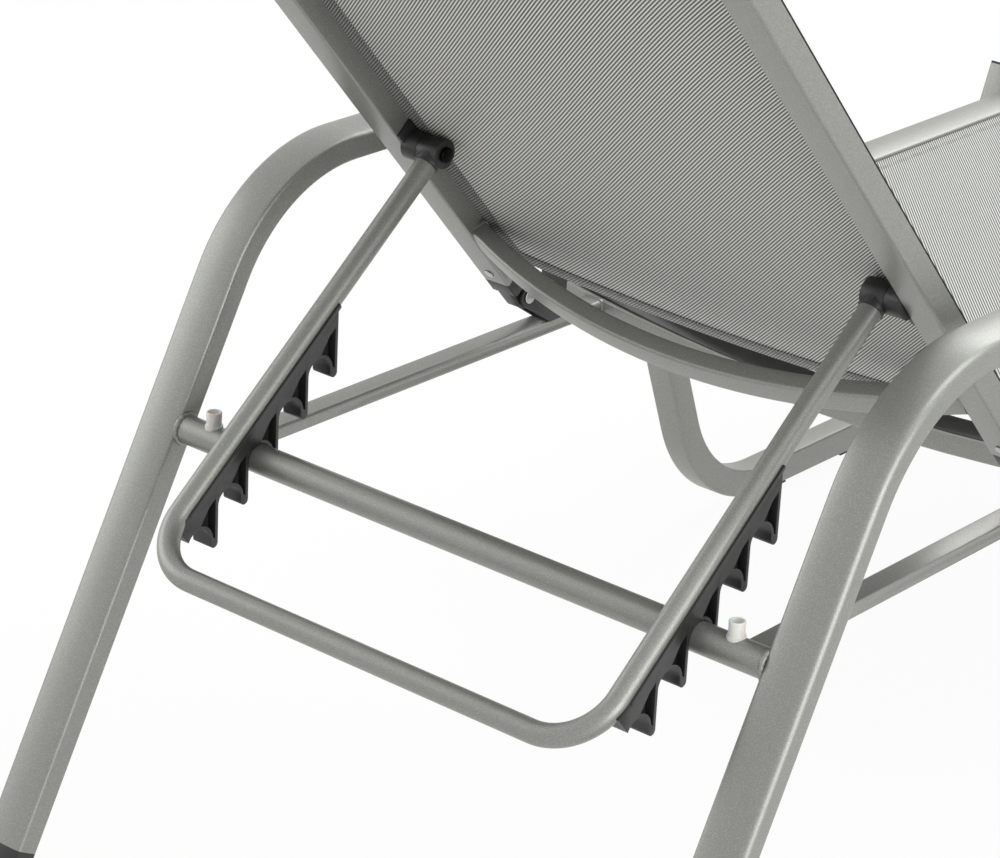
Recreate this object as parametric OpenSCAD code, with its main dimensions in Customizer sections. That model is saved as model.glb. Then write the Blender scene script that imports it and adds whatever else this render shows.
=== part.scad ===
// Folding sun lounger with armrest loops, a hinged sling backrest and a U-shaped ratchet prop.
// x runs across the lounger, y runs from the foot end to the head end, z is up.
// The floor is z = 0, and the origin is under the middle of the lounger.

/* [Side frame] */
// Clear width between the two side frames
inner_w = 608; // [560:1:680]
// Width of the flat frame tube, across the lounger
frame_w = 43.5; // [36:0.5:52]
// Depth of the flat frame tube, in the plane of its bends
frame_t = 22; // [18:0.5:26]
// Height of the soft crown on the frame tube's outer face
crown_h = 2.5; // [1:0.1:4]
// Wall of the aluminium tubes
wall = 1.6; // [1.2:0.1:2.2]
// Height of the armrest's upper edge
arm_top_h = 569; // [540:1:610]
// Radius of the rear arch, to the middle of the tube
arch_r = 159; // [130:1:180]
// Lean of the rear legs from upright, in degrees
leg_lean = 28.4; // [22:0.1:32]
// Radius of the bend at the front of the armrest
arm_front_r = 70; // [50:1:90]
// Distance from the cross bar forward to the armrest's front post
post_run = 616; // [590:1:660]

/* [Cross bar and stretchers] */
// Diameter of the round cross bar
cross_d = 25; // [22:0.5:27]
// Height of the cross bar's axis
cross_h = 357; // [345:1:362]
// Width of the stretchers
stretcher_w = 23; // [20:0.5:26]
// Depth of the stretchers
stretcher_t = 13; // [11:0.5:15]
// Drop of the stretchers' upper face below the cross bar's axis
stretcher_drop = 4; // [3:0.5:6]
// Outer diameter of a bumper
bumper_d = 13; // [10:0.5:16]
// Height of a bumper above the cross bar
bumper_h = 13; // [10:0.5:15]

/* [Seat] */
// Rise of the seat rails' inner upper edge above the cross bar's axis
rail_rise = 7.5; // [5:0.5:13]
// Distance from the cross bar forward to the rails' rear end
rail_start = 518; // [512:1:524]
// Length of a seat rail
rail_len = 1042; // [1000:1:1100]
// Depth of the seat's cross tubes along the lounger
bow_w = 40; // [32:0.5:42]
// Height of the seat's cross tubes
bow_t = 20; // [16:0.5:22]
// Drop of the seat's cross tubes from end to middle
bow_drop = 25; // [15:0.5:30]
// Thickness of the sling fabric
sling_t = 1.2; // [0.8:0.1:1.4]

/* [Leg loops] */
// Width of the square leg loop tube, across the lounger
loop_w = 29.5; // [25:0.5:32]
// Depth of the leg loop tube, in the plane of its bends
loop_t = 29.5; // [25:0.5:32]
// Radius of the leg loop's bends, to the middle of the tube
loop_r = 150; // [120:1:160]
// Lean of the leg loop's branches from upright, in degrees
loop_lean = 21; // [15:0.5:24]
// Distance from the cross bar to where the rear branch crosses the rail
loop_start = 681; // [665:1:700]
// Distance between the branches at the height of the rail
loop_span = 645; // [610:1:700]
// Thickness of the glide pads under the leg loops
pad_t = 2.5; // [2:0.1:4]

/* [Backrest] */
// Distance from the cross bar forward to the hinge
hinge_run = 390.5; // [386:0.5:395]
// Rise of the hinge axis above the stretchers' upper face
hinge_rise = 32.5; // [31:0.5:34]
// Width of a backrest stile
stile_w = 30; // [27:0.5:31]
// Depth of a backrest stile
stile_t = 24.8; // [23:0.2:26]
// Gap between a stile and the side frame beside it
back_gap = 18; // [16:0.5:20]
// Length of a stile
stile_len = 691; // [660:1:740]
// Distance from the hinge to the lower end of the stile
stile_gap = 37; // [35:0.5:40]
// Depth of the backrest's cross tubes, along their curve's radius
brace_t = 17; // [14:0.5:20]
// Height of the backrest's cross tubes
brace_w = 24; // [20:0.5:26]
// Rearward bow of the backrest's lower cross tube
brace_bow = 52.5; // [40:1:65]
// Rearward bow of the backrest's upper cross tube
top_bow = 30; // [20:1:45]

/* [Prop] */
// Diameter of the prop's round tube
prop_d = 19; // [16:0.5:20]
// Distance from a stile's inner face to the middle of the prop's arm
prop_inset = 28; // [26:0.5:30]
// Length of the prop from its pivot to the middle of its lower bar
prop_len = 431.5; // [425:0.5:440]
// Radius of the prop's two corners, to the middle of the tube
prop_corner_r = 50; // [40:1:52]
// Distance from the hinge to the prop's pivot, along the stile
pivot_run = 254.4; // [250:0.2:258]
// Depth of the prop's pivot behind the middle of the stile
pivot_drop = 5.6; // [5:0.1:6.2]

/* [Combs] */
// Notch that the cross bar rests in, counted from the pivot
notch_in_use = 3; // [2:1:4]
// Number of notches in a comb
notch_count = 5; // [4:1:6]
// Distance between neighbouring notches
notch_pitch = 44.5; // [43:0.5:46]
// Distance from the pivot to the first notch, along the arm
notch_first = 213.3; // [210:0.5:216]
// Distance from the arm's axis to the middle of a notch
notch_depth = 30.6; // [29.5:0.1:32]
// Play between the cross bar and a notch, all round
notch_play = 0.6; // [0.5:0.1:0.8]
// Width of a comb
comb_w = 20; // [17:0.5:20.5]
// Thickness of the rims and the middle web of a comb
comb_rim = 3; // [2:0.1:4]
// Length of a tooth below the middle of its notch
tooth_tip = 8; // [6:0.5:9]

/* [Hidden] */
$fn = 72;
fine_fn = 360;

// Overrun of cuts past the faces that they open
over = 5;
// Play of a plug inside its tube
plug_play = 0.2;
// Play between parts that turn past each other
side_play = 0.4;
// Radial play of a turning bore on its pin
pin_play = 0.05;
// How far a tube's straights lap its bends, and how much a bend draws its walls in
lap = 0.5;
draw_in = 0.25;

// Frame tube
frame_inner_r = 3;
frame_outer_r = 7;
crown_r = ((frame_w / 2) * (frame_w / 2) + crown_h * crown_h) / (2 * crown_h);
tube_corner_r = 3;
plug_len = 25;
plug_lip = 2.5;
foot_h = 24;

// Heights and widths that follow the cross bar and the side frames
stretcher_top_h = cross_h - stretcher_drop;
rail_top_h = cross_h + rail_rise;
hinge_h = stretcher_top_h + hinge_rise;
back_w = inner_w - 2 * (stile_w + back_gap);
prop_w = back_w - 2 * prop_inset;

// Side frame path
arm_z = arm_top_h - frame_t / 2;
arch_z = arm_z - arch_r;
arch_y = -(arch_r + (arch_z - cross_h) * sin(leg_lean)) / cos(leg_lean);
leg_end_z = arch_z + arch_r * sin(leg_lean);
leg_len = (leg_end_z - foot_h) / cos(leg_lean);
rail_z = rail_top_h - frame_t / 2;
arm_len = post_run + arch_y - arm_front_r;

// Whole lounger, from the rear foot's heel to the foot-end plugs
rear_reach = cross_h * tan(leg_lean) + (frame_t / 2 + crown_h) / cos(leg_lean);
foot_reach = rail_start + rail_len + plug_lip;
origin_y = (foot_reach - rear_reach) / 2;

// Bead channels that hold the slings
channel_r = 2.4;
channel_wall = 1;
slot_t = 2;
bead_play = 0.2;
rail_channel_x = channel_r + channel_wall;
rail_channel_z = rail_top_h - channel_r - channel_wall;
stile_channel_x = channel_r + channel_wall;
stile_channel_z = stile_t / 2 - channel_r - channel_wall;
sling_start = rail_start + 8;
sling_end = rail_start + rail_len - 14;

// Seat cross tubes
seat_bow_gap = 0.6;
seat_bow_z = rail_channel_z - sling_t / 2 - seat_bow_gap - bow_t / 2;
rear_bow_y = rail_start + 2;
middle_bow_y = loop_start + loop_span / 2;
foot_bow_y = rail_start + rail_len - bow_w;

// Hinge
pin_r = 4;
pin_head_r = 6.5;
pin_head_t = 1.8;
cheek_t = 4;
cheek_r = 10;
bracket_l = 38;
foot_run = 50;
bracket_base_t = 3;
rivet_r = 2.4;
rivet_head_r = 4.5;
rivet_head_t = 1.4;
tongue_w = stretcher_w - 2 * cheek_t - 2 * side_play;
fitting_block = 18;
fitting_plug = 30;
rivet_up = 15;
hinge_x = (back_w + stile_w) / 2;

// Rest position: hinge, cross bar and pivot are the corners of a triangle
notch_run = notch_first + (notch_in_use - 1) * notch_pitch;
side_a = norm([hinge_run, hinge_h - cross_h]);
side_b = norm([pivot_run, pivot_drop]);
side_c = norm([notch_run, notch_depth]);
hinge_corner = acos((side_a * side_a + side_b * side_b - side_c * side_c) / (2 * side_a * side_b));
back_angle = hinge_corner - asin((hinge_h - cross_h) / side_a) + atan(pivot_drop / pivot_run);
pivot_angle = back_angle - atan(pivot_drop / pivot_run);
pivot_y = -hinge_run + side_b * cos(pivot_angle);
pivot_z = hinge_h + side_b * sin(pivot_angle);
arm_angle = atan2(pivot_z - cross_h, -pivot_y) - atan(notch_depth / notch_run);

// Backrest
brace_run = 109;
brace_drop = 2.5;
brace_tilt = 5.6;
top_bar_drop = (brace_t + sling_t) / 2 + seat_bow_gap - stile_channel_z;
top_bar_run = stile_gap + stile_len - 28;
back_sling_start = stile_gap + side_play;
back_sling_end = stile_gap + stile_len - 12;

// Prop
hub_r = 12.6;
hub_w = 22;
collar_r = 10.8;
collar_end = 15;
arm_start = 9;
boss_plate_t = 3;
boss_plate_l = 40;
boss_plate_w = 19;
bolt_head_t = 3;
bolt_head_r = 7;
nut_t = 5;
pivot_nut_r = stile_t / 2 - wall - pivot_drop - plug_play;
hub_x = prop_w / 2;
hub_out_x = hub_x + hub_w / 2;

// Combs
notch_r = cross_d / 2 + notch_play;
tooth_pitch = notch_pitch * cos(arm_angle);
tooth_t = tooth_pitch - 2 * notch_r;
saddle_r = prop_d / 2 + 1.8;
comb_tail = 6;
comb_end = notch_first + (notch_count - 1) * notch_pitch + comb_tail;

// Leg loops
loop_top_gap = 14;
loop_z = pad_t + loop_t / 2;
loop_corner_run = (rail_z - loop_z) * tan(loop_lean);
loop_turn = 90 - loop_lean;
loop_tangent = loop_r * tan(loop_turn / 2);
loop_branch = (rail_z - loop_z) / cos(loop_lean) - loop_tangent;
loop_extra = (frame_t / 2 + crown_h + loop_top_gap) / cos(loop_lean);
loop_floor = loop_span - 2 * loop_corner_run - 2 * loop_tangent;
pad_len = 40;
pad_rib = 1.5;
pad_rear_y = loop_start + loop_corner_run + loop_tangent + pad_len / 2;
pad_front_y = loop_start + loop_span - loop_corner_run - loop_tangent - pad_len / 2;
bolt_r = 4;
frame_x = inner_w / 2;
loop_x = frame_x + frame_w;

// Colours of the finishes
silver = "#9a9b95";
black = "#1b1c1b";
milky = "#dcdcd8";
steel = "#8f9290";
fabric = "#8d8e88";

// A straight stretch of a drawn section: the section's x is the inside-left normal, its y is across
module run(length) rotate([90, 0, 90]) linear_extrude(length) children();

// A bend of a drawn section, to the left when turn is positive
module bend(r, turn) {
    if (turn > 0)
        translate([0, r, 0]) rotate(-90) rotate_extrude(angle = turn, $fn = fine_fn)
            translate([r, 0]) mirror([1, 0]) children();
    else
        translate([0, -r, 0]) rotate(90 + turn) rotate_extrude(angle = -turn, $fn = fine_fn)
            translate([r, 0]) children();
}

// A tube that follows a list of steps: [length, 0] runs straight, [radius, angle] bends.
// The first child is the section of the straights, the second that of the bends, which are
// drawn in by a hair and lapped by the straights.
module tube_path(steps, k = 0) {
    if (k < len(steps)) {
        size = steps[k][0];
        turn = steps[k][1];
        if (turn == 0) {
            before = k == 0 ? 0 : lap;
            after = k == len(steps) - 1 ? 0 : lap;
            translate([-before, 0, 0]) run(size + before + after) children(0);
            translate([size, 0, 0]) tube_path(steps, k + 1) { children(0); children(1); }
        } else {
            bend(size, turn) children(1);
            translate([0, sign(turn) * size, 0]) rotate(turn)
                translate([0, -sign(turn) * size, 0])
                    tube_path(steps, k + 1) { children(0); children(1); }
        }
    }
}

// A rectangle with rounded corners, the first radius on the low-y side
module soft_rect(x0, x1, y0, y1, r0, r1) {
    polygon([
        [x0 + r0, y0], [x1 - r0, y0], [x1, y0 + r0], [x1, y1 - r1],
        [x1 - r1, y1], [x0 + r1, y1], [x0, y1 - r1], [x0, y0 + r0]
    ]);
    for (x = [x0 + r0, x1 - r0]) translate([x, y0 + r0]) circle(r0);
    for (x = [x0 + r1, x1 - r1]) translate([x, y1 - r1]) circle(r1);
}

// Outline of the flat frame tube, drawn in by an inset; y = 0 is the lounger's inner side
module frame_outline(inset = 0) intersection() {
    soft_rect(-frame_t / 2 + inset, frame_t / 2 + crown_h - inset, inset, frame_w - inset,
        frame_inner_r - inset, frame_outer_r - inset);
    translate([frame_t / 2 + crown_h - crown_r, frame_w / 2])
        circle(crown_r - inset, $fn = fine_fn);
}
module frame_section(inset = 0) difference() {
    frame_outline(inset);
    frame_outline(wall - inset);
}

// Plain rectangular tube outline, centred
module box_outline(t, w, inset = 0)
    soft_rect(-t / 2 + inset, t / 2 - inset, -w / 2 + inset, w / 2 - inset,
        tube_corner_r - inset, tube_corner_r - inset);
module box_section(t, w, inset = 0) difference() {
    box_outline(t, w, inset);
    box_outline(t, w, wall - inset);
}

// The lounger's long side plane seen from its left: local x is y, local y is z, local z is x
module side_plane(x = 0) translate([x, origin_y, 0]) rotate([90, 0, 90]) children();
module other_side() mirror([1, 0, 0]) children();

// A round bar along x between two places
module bar_x(x0, x1, r) translate([x0, 0, 0]) rotate([0, 90, 0]) cylinder(h = x1 - x0, r = r);

// Side frame: front post, armrest, arch and rear leg bent from one tube
module side_frame_left() color(silver) difference() {
    side_plane(frame_x) translate([-post_run, rail_z, 0]) rotate(90)
        tube_path([
            [arm_z - rail_z - arm_front_r, 0], [arm_front_r, -90], [arm_len, 0],
            [arch_r, leg_lean - 90], [leg_len, 0]
        ]) {
            frame_section();
            frame_section(draw_in);
        }
    rail_solid();
}
module side_frame_right() other_side() side_frame_left();

// The rear leg's own line, from the cross bar down to the floor
module leg_line() side_plane(frame_x) translate([0, cross_h, 0]) rotate(leg_lean - 90) children();
module rear_foot_left() color(black) {
    cut = (cross_h - foot_h) / cos(leg_lean);
    intersection() {
        leg_line() translate([cut, 0, 0]) run(3 * foot_h) frame_outline();
        translate([0, origin_y, 0]) cube([2 * loop_x, 2 * rear_reach, foot_h * 2]);
    }
    leg_line() translate([cut - plug_len, 0, 0]) run(plug_len) frame_outline(wall + plug_play);
}
module rear_foot_right() other_side() rear_foot_left();

// Cross bar between the legs, and the solid that other parts are notched for
module cross_solid(r = cross_d / 2)
    translate([0, origin_y, cross_h]) bar_x(-frame_x, frame_x, r);
module cross_bar() color(silver) difference() {
    cross_solid();
    cross_solid(cross_d / 2 - wall);
}

// Level stretchers that carry the hinge brackets
module stretcher_left() color(silver) difference() {
    length = rear_bow_y + bow_w / 2 - bow_w;
    translate([hinge_x, origin_y - length, stretcher_top_h - stretcher_t / 2])
        rotate([-90, 0, 0]) linear_extrude(length - cross_d / 3)
            rotate(90) box_section(stretcher_t, stretcher_w);
    cross_solid();
    bracket_rivet_holes();
}
module stretcher_right() other_side() stretcher_left();

// Milky hollow bumper on the cross bar, under the stile
module bumper_left() color(milky) difference() {
    translate([hinge_x, origin_y, cross_h]) {
        cylinder(h = cross_d / 2 + bumper_h, d = bumper_d);
        cylinder(h = cross_d / 2 + bumper_h / 6, d = bumper_d + bumper_h / 4);
    }
    cross_solid();
    translate([hinge_x, origin_y, cross_h + cross_d / 2 + bumper_h / 4])
        cylinder(h = bumper_h + over, d = bumper_d / 2);
}
module bumper_right() other_side() bumper_left();

// Seat rail: the frame tube with a bead channel for the sling along its inner upper edge
module rail_solid()
    side_plane(frame_x) translate([-rail_start - rail_len, rail_z, 0]) run(rail_len)
        frame_outline();
module rail_section() {
    up = rail_channel_z - rail_z;
    difference() {
        union() {
            frame_section();
            intersection() {
                translate([up, rail_channel_x]) circle(channel_r + channel_wall);
                frame_outline();
            }
        }
        translate([up, rail_channel_x]) circle(channel_r);
        translate([up - slot_t / 2, -over]) square([slot_t, rail_channel_x + over]);
    }
}
module seat_rail_left() color(silver) difference() {
    side_plane(frame_x) translate([-rail_start - rail_len, rail_z, 0]) run(rail_len)
        rail_section();
    leg_bolt_holes();
}
module seat_rail_right() other_side() seat_rail_left();

// Plugs in the rails' ends; each has a lip outside and a stem clear of the bead channel
module rail_plug_stem() run(plug_len) difference() {
    frame_outline(wall + plug_play);
    translate([rail_channel_z - rail_z, rail_channel_x])
        circle(channel_r + channel_wall + plug_play);
}
module rail_plug_rear_left() color(black)
    side_plane(frame_x) translate([-rail_start, rail_z, 0]) {
        run(plug_lip) frame_outline();
        translate([-plug_len, 0, 0]) rail_plug_stem();
    }
module rail_plug_front_left() color(black)
    side_plane(frame_x) translate([-rail_start - rail_len, rail_z, 0]) {
        translate([-plug_lip, 0, 0]) run(plug_lip) frame_outline();
        rail_plug_stem();
    }
module rail_plug_rear_right() other_side() rail_plug_rear_left();
module rail_plug_front_right() other_side() rail_plug_front_left();

// A cross tube that bows down by drop between two end planes; local z is up, local y along
module bowed_tube(half, drop, t, w) {
    r = (half * half + drop * drop) / (2 * drop);
    reach = asin(half / r) + asin(t / r);
    intersection() {
        translate([0, 0, r - drop]) rotate([90, 0, 0]) rotate(-90 - reach)
            rotate_extrude(angle = 2 * reach, $fn = 2 * fine_fn)
                translate([r, 0]) box_section(t, w);
        translate([-half, -w, -drop - t]) cube([2 * half, 2 * w, drop + 3 * t]);
    }
}
module seat_bow(y) color(silver) translate([0, origin_y - y, seat_bow_z])
    bowed_tube(frame_x, bow_drop, bow_t, bow_w);
module seat_rear_bow() seat_bow(rear_bow_y);
module seat_middle_bow() seat_bow(middle_bow_y);
module seat_foot_bow() seat_bow(foot_bow_y);

// Seat sling with its two beads, held in the rails' channels
module seat_sling() color(fabric) {
    half = frame_x + rail_channel_x;
    translate([0, origin_y - sling_start, rail_channel_z]) rotate([90, 0, 0])
        linear_extrude(sling_end - sling_start) sling_section(half);
}
module sling_section(half) {
    translate([-half, -sling_t / 2]) square([2 * half, sling_t]);
    for (x = [-half, half]) translate([x, 0]) circle(channel_r - bead_play);
}

// Leg loop: rear branch, floor run and front branch bent from one square tube
module loop_line() side_plane(loop_x + loop_w / 2)
    translate([-loop_start - loop_span + loop_corner_run, loop_z, 0]) children();
module leg_loop_left() color(silver) difference() {
    side_plane(loop_x + loop_w / 2)
        translate([
            -loop_start + loop_extra * sin(loop_lean), rail_z + loop_extra * cos(loop_lean), 0
        ]) rotate(-90 - loop_lean)
            tube_path([
                [loop_branch + loop_extra, 0], [loop_r, -loop_turn], [loop_floor, 0],
                [loop_r, -loop_turn], [loop_branch + loop_extra, 0]
            ]) {
                box_section(loop_t, loop_w);
                box_section(loop_t, loop_w, draw_in);
            }
    leg_bolt_holes();
}
module leg_loop_right() other_side() leg_loop_left();
module loop_plug() {
    translate([-plug_lip, 0, 0]) run(plug_lip) box_outline(loop_t, loop_w);
    run(plug_len) box_outline(loop_t, loop_w, wall + plug_play);
}
module loop_plug_rear_left() color(black) side_plane(loop_x + loop_w / 2)
    translate([
        -loop_start + loop_extra * sin(loop_lean), rail_z + loop_extra * cos(loop_lean), 0
    ]) rotate(-90 - loop_lean) loop_plug();
module loop_plug_front_left() color(black) side_plane(loop_x + loop_w / 2)
    translate([
        -loop_start - loop_span - loop_extra * sin(loop_lean),
        rail_z + loop_extra * cos(loop_lean), 0
    ]) rotate(loop_lean - 90) loop_plug();
module loop_plug_rear_right() other_side() loop_plug_rear_left();
module loop_plug_front_right() other_side() loop_plug_front_left();

// Glide pads under the ends of the floor run
module glide_pad(y) color(black)
    translate([loop_x + pad_rib, origin_y - y - pad_len / 2, 0])
        cube([loop_w - 2 * pad_rib, pad_len, pad_t]);
module glide_pad_rear_left() glide_pad(pad_rear_y);
module glide_pad_front_left() glide_pad(pad_front_y);
module glide_pad_rear_right() other_side() glide_pad(pad_rear_y);
module glide_pad_front_right() other_side() glide_pad(pad_front_y);

// Bolts that clamp the leg loops to the rails
module at_leg_bolts() for (y = [loop_start, loop_start + loop_span])
    translate([0, origin_y - y, rail_z]) children();
module leg_bolt_holes() at_leg_bolts() bar_x(frame_x - over, loop_x + loop_w + over, bolt_r);
module leg_bolts() color(steel) for (side = [0, 1]) mirror([side, 0, 0]) at_leg_bolts() {
    bar_x(frame_x - nut_t, loop_x + loop_w, bolt_r);
    bar_x(frame_x - nut_t, frame_x, bolt_head_r);
    bar_x(loop_x + loop_w, loop_x + loop_w + bolt_head_t, bolt_head_r);
}

// Backrest hinge on the stretcher
module at_hinge(x = 0) translate([x, origin_y - hinge_run, hinge_h]) children();
module at_bracket_rivets() for (y = [-bracket_l / 4, bracket_l / 4])
    at_hinge(hinge_x) translate([0, y - foot_run, stretcher_top_h - hinge_h]) children();
module bracket_rivet_holes() at_bracket_rivets()
    translate([0, 0, -stretcher_t - over]) cylinder(h = stretcher_t + 3 * over, r = rivet_r);
// Its line from the eye to the foot touches the eye's round on both sides
module cheek_outline() {
    up = hinge_h - stretcher_top_h;
    rear = [bracket_l / 2 - foot_run, -up];
    front = [-bracket_l / 2 - foot_run, bracket_base_t - up];
    lean = atan2(-rear[1], -rear[0]) - asin(cheek_r / norm(rear));
    rise = atan2(-front[1], -front[0]) + asin(cheek_r / norm(front));
    circle(cheek_r);
    polygon([
        [cheek_r * sin(lean), -cheek_r * cos(lean)], rear,
        [front[0], -up], front,
        [-cheek_r * sin(rise), cheek_r * cos(rise)], [0, 0]
    ]);
}
module hinge_bracket_left() color(black) difference() {
    at_hinge(hinge_x) {
        for (x = [-stretcher_w / 2, stretcher_w / 2 - cheek_t])
            translate([x, 0, 0]) rotate([90, 0, 90]) linear_extrude(cheek_t) cheek_outline();
        translate([-stretcher_w / 2, -foot_run - bracket_l / 2, stretcher_top_h - hinge_h])
            cube([stretcher_w, bracket_l, bracket_base_t]);
    }
    at_hinge(hinge_x) bar_x(-stretcher_w, stretcher_w, pin_r);
    bracket_rivet_holes();
}
module hinge_bracket_right() other_side() hinge_bracket_left();
module hinge_pins() color(steel) for (side = [0, 1]) mirror([side, 0, 0]) at_hinge(hinge_x) {
    half = stretcher_w / 2;
    bar_x(-half, half, pin_r);
    for (x = [-half - pin_head_t, half]) bar_x(x, x + pin_head_t, pin_head_r);
}
module bracket_rivets() color(steel) for (side = [0, 1]) mirror([side, 0, 0])
    at_bracket_rivets() {
        translate([0, 0, -stretcher_t - rivet_head_t])
            cylinder(h = rivet_head_t, r = rivet_head_r);
        translate([0, 0, -stretcher_t])
            cylinder(h = stretcher_t + bracket_base_t, r = rivet_r);
        translate([0, 0, bracket_base_t]) cylinder(h = rivet_head_t, r = rivet_head_r);
    }

// Backrest frame: local y runs up the stiles, local z points to the front of the backrest
module back_frame() at_hinge() rotate([back_angle, 0, 0]) children();
module up_stile(y, length) translate([hinge_x, y, 0]) rotate([-90, 0, 0]) mirror([0, 1, 0])
    linear_extrude(length) children();

// Stile extrusion with the bead channel at its inner front edge
module stile_section() {
    x = -stile_w / 2 + stile_channel_x;
    difference() {
        union() {
            rotate(90) box_section(stile_t, stile_w);
            intersection() {
                translate([x, stile_channel_z]) circle(channel_r + channel_wall);
                rotate(90) box_outline(stile_t, stile_w);
            }
        }
        translate([x, stile_channel_z]) circle(channel_r);
        translate([-stile_w / 2 - over, stile_channel_z - slot_t / 2])
            square([stile_channel_x + over, slot_t]);
    }
}
module stile_left() color(silver) difference() {
    back_frame() up_stile(stile_gap, stile_len) stile_section();
    back_frame() translate([0, pivot_run, -pivot_drop])
        bar_x(back_w / 2 - over, back_w / 2 + stile_w / 2, bolt_r);
    fitting_rivet_holes();
}
module stile_right() other_side() stile_left();

// Cross tubes of the backrest, bowed to the rear to leave room for the sling
module back_bow(y, z, tilt, bow) color(silver) back_frame() translate([0, y, z])
    rotate([tilt, 0, 0]) bowed_tube(back_w / 2, bow, brace_t, brace_w);
module back_brace() back_bow(brace_run, -brace_drop, brace_tilt, brace_bow);
module back_top_bar() back_bow(top_bar_run, -top_bar_drop, 0, top_bow);

// Moulded end fitting: plug in the stile, block below it, and the hinge tongue
module fitting_stem(inset) difference() {
    rotate(90) box_outline(stile_t, stile_w, inset);
    translate([-stile_w / 2 + stile_channel_x, stile_channel_z])
        circle(channel_r + channel_wall + plug_play);
}
module end_fitting_left() color(black) difference() {
    back_frame() {
        up_stile(stile_gap - fitting_block, fitting_block)
            rotate(90) box_outline(stile_t, stile_w);
        up_stile(stile_gap, fitting_plug) fitting_stem(wall + plug_play);
        translate([hinge_x - tongue_w / 2, 0, 0]) {
            bar_x(0, tongue_w, stile_t / 2);
            translate([0, 0, -stile_t / 2]) cube([tongue_w, stile_gap, stile_t]);
        }
    }
    at_hinge(hinge_x) bar_x(-stile_w, stile_w, pin_r + pin_play);
    fitting_rivet_holes();
}
module end_fitting_right() other_side() end_fitting_left();
module at_fitting_rivet() back_frame() translate([hinge_x, stile_gap + rivet_up, 0]) children();
module fitting_rivet_holes() at_fitting_rivet()
    translate([0, 0, -stile_t]) cylinder(h = stile_t, r = rivet_r);
module fitting_rivets() color(steel) for (side = [0, 1]) mirror([side, 0, 0])
    at_fitting_rivet() {
        translate([0, 0, -stile_t / 2 - rivet_head_t])
            cylinder(h = rivet_head_t, r = rivet_head_r);
        translate([0, 0, -stile_t / 2]) cylinder(h = stile_t / 2, r = rivet_r);
    }

// Plug in the upper end of a stile
module stile_plug_left() color(black) back_frame() {
    up_stile(stile_gap + stile_len, plug_lip) rotate(90) box_outline(stile_t, stile_w);
    up_stile(stile_gap + stile_len - plug_len, plug_len) fitting_stem(wall + plug_play);
}
module stile_plug_right() other_side() stile_plug_left();

// Backrest sling with its two beads
module back_sling() color(fabric) back_frame()
    translate([0, back_sling_end, stile_channel_z]) rotate([90, 0, 0])
        linear_extrude(back_sling_end - back_sling_start)
            sling_section(back_w / 2 + stile_channel_x);

// Prop pivot: boss on the stile, bolt, and the hub that caps the prop's arm
module at_pivot() back_frame() translate([0, pivot_run, -pivot_drop]) children();
module pivot_boss_left() color(black) difference() {
    at_pivot() {
        bar_x(hub_out_x + side_play, back_w / 2, hub_r);
        translate([back_w / 2 - boss_plate_t, -boss_plate_l / 2, -stile_t / 4])
            cube([boss_plate_t, boss_plate_l, boss_plate_w]);
    }
    at_pivot() bar_x(hub_x, back_w / 2 + over, bolt_r);
}
module pivot_boss_right() other_side() pivot_boss_left();
module pivot_bolts() color(steel) for (side = [0, 1]) mirror([side, 0, 0]) at_pivot() {
    head_x = hub_x - hub_w / 2 - side_play;
    bar_x(head_x - bolt_head_t, head_x, bolt_head_r);
    bar_x(head_x, back_w / 2 + wall + nut_t, bolt_r);
    bar_x(back_w / 2 + wall, back_w / 2 + wall + nut_t, pivot_nut_r);
}

// Prop frame: local y runs down the arms, local z points up and back, away from the combs
module prop_frame() translate([0, origin_y + pivot_y, pivot_z]) rotate([-arm_angle, 0, 0])
    children();
module round_section(d, inner) difference() {
    circle(d = d);
    circle(d = inner);
}
module prop_path(start) {
    arm = prop_len - prop_corner_r - start;
    translate([prop_w / 2, start, 0]) rotate(90)
        tube_path([
            [arm, 0], [prop_corner_r, 90], [prop_w - 2 * prop_corner_r, 0],
            [prop_corner_r, 90], [arm, 0]
        ]) { children(0); children(1); }
}
module prop_tube() color(silver) prop_frame() prop_path(arm_start) {
    round_section(prop_d, prop_d - 2 * wall);
    round_section(prop_d - 2 * draw_in, prop_d - 2 * wall + 2 * draw_in);
}
module prop_hub_left() color(black) prop_frame() difference() {
    union() {
        bar_x(hub_x - hub_w / 2, hub_out_x, hub_r);
        translate([hub_x, 0, 0]) rotate([-90, 0, 0]) cylinder(h = collar_end, r = collar_r);
    }
    translate([hub_x, arm_start, 0]) rotate([-90, 0, 0]) cylinder(h = prop_len, d = prop_d);
    bar_x(0, prop_w, bolt_r + pin_play);
}
module prop_hub_right() other_side() prop_hub_left();

// Comb: a saddle under the arm with hooked teeth. Offsets (back, up) are upright at rest.
function from_notch(k, back, up) = [
    notch_first + k * notch_pitch + back * cos(arm_angle) - up * sin(arm_angle),
    -notch_depth + back * sin(arm_angle) + up * cos(arm_angle)
];
// Where an upright line at the offset meets the arm's axis
function on_arm(k, back) = let (p = from_notch(k, back, 0)) [p[0] + p[1] * tan(arm_angle), 0];
module at_notch(k) translate(from_notch(k, 0, 0)) rotate(arm_angle) children();

module comb_outline() difference() {
    union() for (k = [0 : notch_count - 1]) {
        last = k == notch_count - 1;
        back = last ? comb_tail : notch_r;
        polygon([
            on_arm(k, notch_r - tooth_pitch),
            from_notch(k, notch_r - tooth_pitch, tooth_t / 2 - tooth_tip),
            from_notch(k, back, tooth_t / 2 - tooth_tip),
            last ? [comb_end, -notch_depth] : from_notch(k, back, 0),
            last ? [comb_end, 0] : on_arm(k, back)
        ]);
        at_notch(k) translate([-notch_r - tooth_t / 2, tooth_t / 2 - tooth_tip])
            circle(d = tooth_t);
    }
    for (k = [0 : notch_count - 1]) at_notch(k) {
        circle(notch_r);
        translate([-notch_r, -notch_depth]) square([2 * notch_r, notch_depth]);
    }
}
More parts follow.
